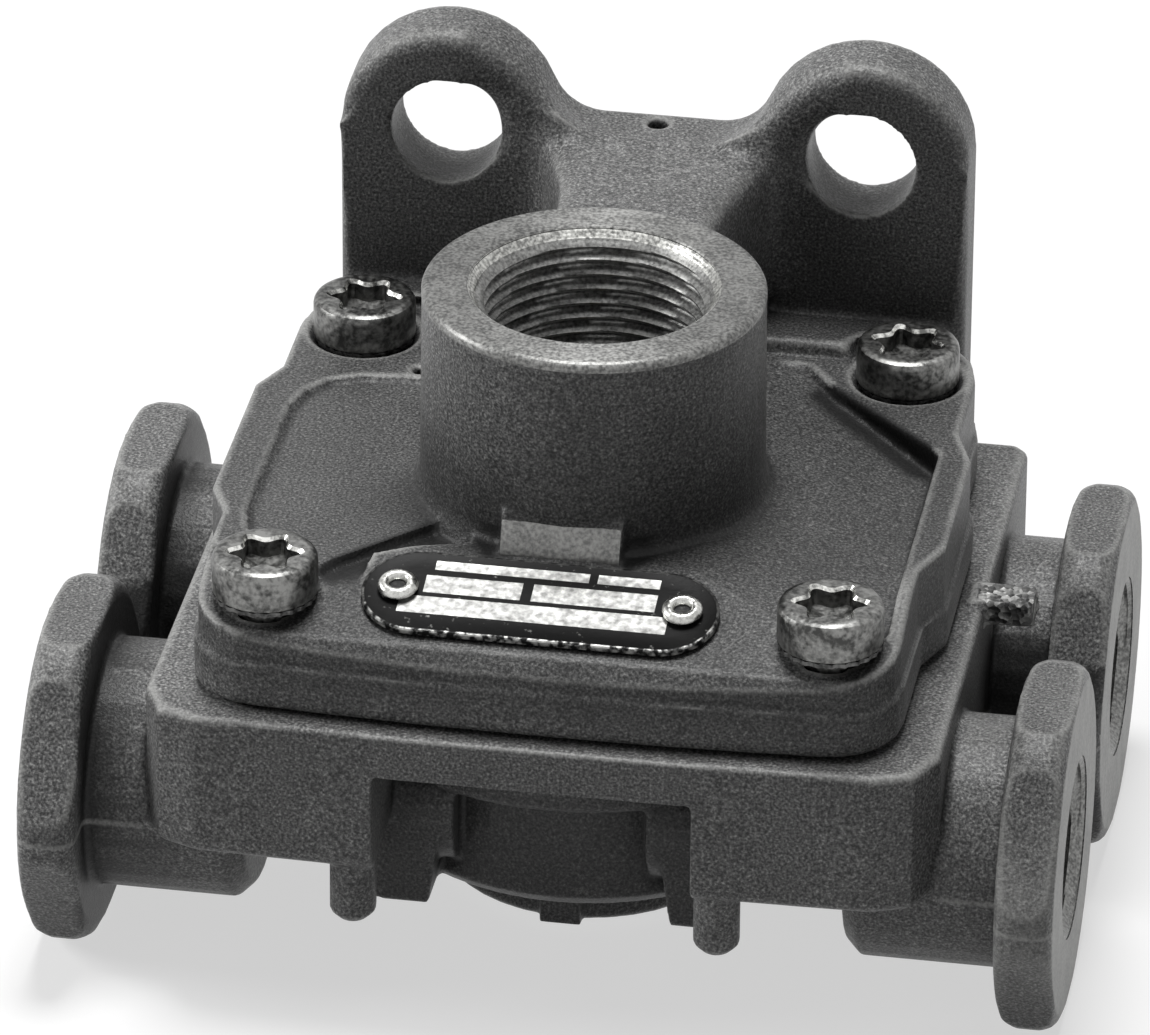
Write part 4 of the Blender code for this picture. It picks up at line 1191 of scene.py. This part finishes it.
@dataclass
class Fasteners:
    """Cover screws and the toothed washers under them."""

    pitch_x: float = 52.4
    front_y: float = -25.2
    rear_y: float = 24.2
    front_seat: float = 23.5
    rear_seat: float = 24.6
    gap: float = 0.3
    washer: float = 0.45
    washer_hole: float = 3.5
    washer_root: float = 4.7
    washer_tip: float = 4.85
    teeth: int = 24
    head_r: float = 4.9
    head_h: float = 3.6
    shank_r: float = 3.0
    shank_end: float = -17.1
    star_r: float = 2.75
    star_wave: float = 0.5

    def corner_values(self, height: float) -> dict[str, Any]:
        """Returns the inputs that set a fastener of that height on the four seats."""
        mid = (self.front_y + self.rear_y) / 2
        return {"Across": self.pitch_x * MM, "Deep": (self.rear_y - self.front_y) * MM,
                "Middle": DATUM.point(0, mid, self.front_seat + height),
                "Rear Lift": (self.rear_seat - self.front_seat) * MM, "Seed": 11}

    def screw_mesh(self) -> bpy.types.Mesh:
        """Makes one screw about the origin, its head standing on z = 0."""
        h, r, shank = self.head_h, self.head_r, self.shank_r
        body = turned([(0, self.shank_end), (shank - 0.7, self.shank_end),
                       (shank, self.shank_end + 0.7), (shank, -0.26), (r - 0.2, -0.26),
                       (r - 0.06, -0.2), (r, -0.06), (r, h - 0.8), (r - 0.06, h - 0.49),
                       (r - 0.22, h - 0.23), (r - 0.46, h - 0.08), (r - 0.75, h - 0.01),
                       (r - 0.95, h), (0, h)], 56)
        body.transform(DATUM.at().inverted())
        star = []
        for i in range(72):
            a = 2 * math.pi * i / 72
            reach = self.star_r + self.star_wave * math.cos(6 * a) + 0.06 * math.cos(12 * a)
            star.append((reach * math.cos(a), reach * math.sin(a)))
        tool = lofted([[(x * s * MM, y * s * MM, z * MM) for x, y in star]
                       for s, z in ((1.12, h + 0.6), (1.12, h + 0.02), (1.0, h - 0.34),
                                    (0.97, h - 1.9), (0.5, h - 2.15))])
        blank = link("screw_blank", body, [ZINC])
        cut_away(blank, tool, "EXACT")
        mesh = blank.data
        bpy.data.objects.remove(blank, do_unlink=True)
        return mesh

    def burnish_and_glint(self, mesh: bpy.types.Mesh) -> None:
        """Gives the chamfer round each star recess the burnished finish, whose brighter colour is partly a
        painted highlight.

        Args:
            mesh: the four screws.
        """
        top = 2 * self.gap + self.washer + self.head_h
        for polygon in mesh.polygons:
            x, y, z = DATUM.count(polygon.center)
            seat, row = (self.rear_seat, self.rear_y) if y > 0 else (self.front_seat, self.front_y)
            near = math.hypot(abs(x) - self.pitch_x / 2, y - row) < 3.75
            if near and 0.25 < polygon.normal.z < 0.93 and -0.33 < z - top - seat < 0.01:
                polygon.material_index = 1

    def washer_mesh(self) -> bpy.types.Mesh:
        """Makes one toothed lock washer about the origin, from z = 0 up."""
        count = self.teeth * 4
        reaches = (self.washer_tip, self.washer_tip, self.washer_root, self.washer_root)
        twists = (0.04, -0.03, 0.0, 0.0)
        round_about = [(math.cos(2 * math.pi * i / count), math.sin(2 * math.pi * i / count))
                       for i in range(count)]
        rings = [[(reaches[i % 4] * x * MM, reaches[i % 4] * y * MM,
                   (self.washer / 2 + twists[i % 4] + half) * MM)
                  for i, (x, y) in enumerate(round_about)] for half in (-0.2, 0.2)]
        hole = self.washer_hole
        rings += [[(hole * x * MM, hole * y * MM, z * MM) for x, y in round_about]
                  for z in (self.washer - 0.1, 0.1)]
        return lofted(rings, endless=True)

    def build(self) -> None:
        """Sets four screws and four washers on the cover."""
        tree = FourCorners()
        for name, mesh, height, finishes, node in (
                ("cover_screws", self.screw_mesh(), 2 * self.gap + self.washer,
                 [ZINC, ZINC_EDGE], "cover_screw"),
                ("lock_washers", self.washer_mesh(), self.gap, [RUBBED], "lock_washer")):
            whole = tree.run(finishes[0], self.corner_values(height), mesh)
            smooth_shade(whole, 24.0)
            piece = link(name, whole, finishes)
            if len(finishes) > 1:
                self.burnish_and_glint(whole)
            hand_over(piece, [f"{node}_{k}" for k in range(1, 5)])


@dataclass
class NamePlate:
    """Printed stadium plate with two tubular rivets on the sloping field of the cover."""

    top_y: float = -17.3
    top_z: float = 25.4
    slope: float = 0.245
    length: float = PRINTED.length_mm
    width: float = PRINTED.width_mm
    shift_x: float = -0.85
    set_back: float = 0.95
    lift: float = 0.3
    sheet: float = 0.6
    rivet_x: float = 13.2
    stub_r: float = 0.74

    def place(self, x: float = 0.0) -> Matrix:
        """Returns the frame of the field at the plate's middle line."""
        y = self.top_y - self.set_back - self.width / 2
        z = self.top_z - self.slope * (self.top_y - y)
        return DATUM.at(self.shift_x + x, y, z, math.degrees(math.atan(self.slope)), "X")

    def plate(self) -> bpy.types.Mesh:
        """Makes the plate with a raised bead round its rim and a UV map in millimetres."""
        r = self.width / 2
        run = self.length / 2 - r
        top = self.lift + self.sheet
        rings = []
        for inset, z in ((0.0, self.lift), (0.0, top - 0.16), (0.1, top - 0.04), (0.24, top),
                         (0.4, top - 0.06), (2.2, top - 0.08), (4.2, top - 0.08)):
            ring = []
            for (middle, start), k in product(((run, -90.0), (-run, 90.0)), range(25)):
                a = math.radians(start + 180.0 * k / 24)
                ring.append(((middle + (r - inset) * math.cos(a)) * MM,
                             (r - inset) * math.sin(a) * MM, z * MM))
            rings.append(ring)
        mesh = lofted(rings)
        layer = mesh.uv_layers.new(name="plate_mm").data
        for corner in mesh.loops:
            layer[corner.index].uv = mesh.vertices[corner.vertex_index].co.xy / MM
        mesh.transform(self.place())
        return mesh

    def rivet(self, x: float) -> bpy.types.Mesh:
        """Makes one tubular rivet: a rolled ring round a sunk stub."""
        base = self.lift + self.sheet + 0.25
        mesh = turned([(0, -2.4), (0.9, -2.4), (0.9, base), (1.75, base), (1.9, base + 0.12),
                       (1.86, base + 0.36), (1.66, base + 0.62), (1.38, base + 0.76),
                       (1.1, base + 0.76), (0.88, base + 0.6), (0.78, base + 0.2),
                       (0.7, base + 0.1), (0, base + 0.14)], 36)
        mesh.transform(DATUM.at().inverted())
        mesh.transform(self.place(x))
        return mesh

    def build(self) -> None:
        """Builds the plate and its rivets."""
        plate = self.plate()
        smooth_shade(plate, 30.0)
        hand_over(link("plain_nameplate", plate, [PRINTED]), ["nameplate"])
        spots = (-self.rivet_x, self.rivet_x)
        pair = joined([self.rivet(x) for x in spots])
        smooth_shade(pair, 50.0)
        rivets = link("plate_rivets", pair, [RIVET, PHOSPHATE])
        for x in spots:
            back = self.place(x).inverted()
            for polygon in pair.polygons:
                spot = back @ polygon.center / MM
                if 0 < spot.z < self.lift + self.sheet + 0.5 and spot.xy.length < self.stub_r:
                    polygon.material_index = 1
        hand_over(rivets, ["nameplate_rivet_1", "nameplate_rivet_2"])


@dataclass
class ValveTrain:
    """The parts inside: diaphragm, spring seat, spring, seal ring, exhaust flap and its pin."""

    spring_foot: float = 3.7
    spring_top: float = 12.8
    spring_r: float = 3.9
    wire_r: float = 0.4
    turns: float = 5.5

    def softened(self, node: str, name: str, finish: Finish, body: Body, width_mm: float) -> None:
        """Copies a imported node, rounds its rims and dresses it.

        Args:
            node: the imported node.
            name: the piece's name.
            finish: its finish.
            body: the body that it rides on.
            width_mm: how wide its rims are rounded.
        """
        mesh = merged_copy(node)
        bm = bmesh.new()
        bm.from_mesh(mesh)
        bmesh.ops.dissolve_limit(bm, angle_limit=math.radians(1.0), verts=bm.verts, edges=bm.edges)
        bm.to_mesh(mesh)
        bm.free()
        obj = link(name, mesh, [finish])
        bevel = obj.modifiers.new("rims", "BEVEL")
        bevel.width = width_mm * MM
        bevel.segments = 3
        bevel.limit_method = "ANGLE"
        bevel.angle_limit = math.radians(40)
        settle(obj)
        smooth_shade(obj.data, 32.0)
        hand_over(obj, [node], body)

    def build(self) -> None:
        """Builds every inner part."""
        for node, name, finish, body, width_mm in (
                ("diaphragm", "diaphragm_disc", RUBBER, Body.DIAPHRAGM, 0.25),
                ("spring_seat", "spring_seat_turned", BRASS, Body.DIAPHRAGM, 0.15),
                ("exhaust_flap", "exhaust_flap_disc", RUBBER, Body.FLAP, 0.2),
                ("flap_washer", "flap_washer_pressed", ZINC, Body.VALVE, 0.15),
                ("flap_pin", "flap_pin_headed", ZINC, Body.VALVE, 0.15)):
            self.softened(node, name, finish, body, width_mm)
        seal = merged_copy("cover_seal")
        smooth_shade(seal, 60.0)
        hand_over(link("cover_seal_ring", seal, [SEAL]), ["cover_seal"])
        coil = Coil().run(SPRING_WIRE, {
            "Turns": self.turns, "Radius": self.spring_r * MM,
            "Height": (self.spring_top - self.spring_foot) * MM, "Wire": self.wire_r * MM})
        coil.transform(DATUM.at(z=self.spring_foot))
        smooth_shade(coil, 60.0)
        spring = link("return_spring_coil", coil, [SPRING_WIRE])
        hand_over(spring, ["return_spring"])
        tuple(DATUM.point(0, 0, self.spring_foot))
        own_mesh(spring)


@dataclass
class Studio:
    """Pale floor, soft lights and the photographer's camera.

    Lamps are name, place and size in metres and power in watts. The camera's place is counted from
    the datum, in millimetres, and its turn is in degrees.
    """

    lamps: tuple[tuple[str, tuple[float, float, float], float, float], ...] = (
        ("key", (-0.06, 0.17, 1.1), 0.42, 9.4), ("side", (-1.05, -0.05, 0.55), 0.5, 7.5))
    aim: tuple[float, float, float] = (0.0, 0.0, 0.03)
    camera_at: tuple[float, float, float] = (146.028, -885.013, 511.928)
    camera_turn: tuple[float, float, float] = (61.29, -0.40528, 9.6951)
    lens: float = 342.31
    fill: float = 0.08
    floor_half: float = 4.0
    floor_z: float = -0.0004

    def rays(self, tree: bpy.types.NodeTree) -> bpy.types.Node:
        """Returns a node that gives 1 for rays that should meet the white surroundings."""
        path = add(tree, "ShaderNodeLightPath").outputs
        seen = path["Is Camera Ray"]
        for kind in ("Is Glossy Ray", "Is Transmission Ray"):
            seen = add(tree, "ShaderNodeMath", {0: seen, 1: path[kind]}, operation="MAXIMUM")
        return seen

    def floor(self) -> None:
        """Lays a floor that hides nothing from below."""
        mesh = bpy.data.meshes.new("floor")
        half, z = self.floor_half, self.floor_z
        mesh.from_pydata([(-half, -half, z), (half, -half, z), (half, half, z), (-half, half, z)],
                         [], [(0, 1, 2, 3)])
        material = bpy.data.materials.new("studio_paper_white")
        material.use_nodes = True
        tree = material.node_tree
        tree.nodes.remove(tree.nodes["Principled BSDF"])
        grey = add(tree, "ShaderNodeBsdfDiffuse", {"Color": linear("#a9a9a9")})
        white = add(tree, "ShaderNodeBsdfDiffuse", {"Color": (0.42, 0.42, 0.42, 1.0)})
        glow = add(tree, "ShaderNodeEmission", {"Color": (1.0, 1.0, 1.0, 1.0), "Strength": 0.6})
        lit = add(tree, "ShaderNodeAddShader", {0: white, 1: glow})
        mixed = add(tree, "ShaderNodeMixShader", {0: self.rays(tree), 1: grey, 2: lit})
        clear = add(tree, "ShaderNodeBsdfTransparent")
        under = add(tree, "ShaderNodeNewGeometry").outputs["Backfacing"]
        sheet = add(tree, "ShaderNodeMixShader", {0: under, 1: mixed, 2: clear})
        feed(tree.nodes["Material Output"], {"Surface": sheet})
        mesh.materials.append(material)
        obj = bpy.data.objects.new("floor", mesh)
        bpy.context.scene.collection.objects.link(obj)

    def sky(self) -> None:
        """Sets a world that is white to the eye and dim as a light."""
        world = bpy.data.worlds.new("studio")
        bpy.context.scene.world = world
        world.use_nodes = True
        tree = world.node_tree
        level = add(tree, "ShaderNodeMapRange", {"Value": self.rays(tree), "To Min": self.fill})
        feed(tree.nodes["Background"], {"Strength": level, "Color": (1.0, 1.0, 1.0, 1.0)})

    def light(self) -> None:
        """Hangs the soft lamps, all aimed at the valve."""
        for name, at, size, watts in self.lamps:
            data = bpy.data.lights.new(name, "AREA")
            data.shape = "DISK"
            data.size = size
            data.energy = watts
            obj = bpy.data.objects.new(name, data)
            bpy.context.scene.collection.objects.link(obj)
            obj.location = at
            obj.rotation_euler = (Vector(self.aim) - Vector(at)).to_track_quat("-Z", "Y").to_euler()

    def camera(self) -> None:
        """Sets the camera that was fitted to the photograph."""
        data = bpy.data.cameras.new("view")
        data.lens = self.lens
        data.sensor_width = 36.0
        data.clip_start = 0.05
        data.clip_end = 20.0
        obj = bpy.data.objects.new("view", data)
        bpy.context.scene.collection.objects.link(obj)
        obj.location = DATUM.point(*self.camera_at)
        obj.rotation_euler = [math.radians(angle) for angle in self.camera_turn]
        bpy.context.scene.camera = obj

    def build(self) -> None:
        """Sets up the whole studio."""
        self.floor()
        self.sky()
        self.light()
        self.camera()
        bpy.context.scene.view_settings.view_transform = "Standard"


def main() -> None:
    """Builds the valve's looks piece by piece and sets the studio."""
    logging.basicConfig(level=logging.INFO, format="%(message)s")
    threads = Threads()
    builders: list[tuple[str, Callable[[], None]]] = [
        ("lower housing", LowerHousing(threads).build),
        ("cover", Cover(threads).build),
        ("threads", threads.build),
        ("fasteners", Fasteners().build),
        ("name plate", NamePlate().build),
        ("valve train", ValveTrain().build),
        ("studio", Studio().build),
    ]
    for name, build in builders:
        build()
        LOG.info("built %s", name)


if __name__ == "__main__":
    main()
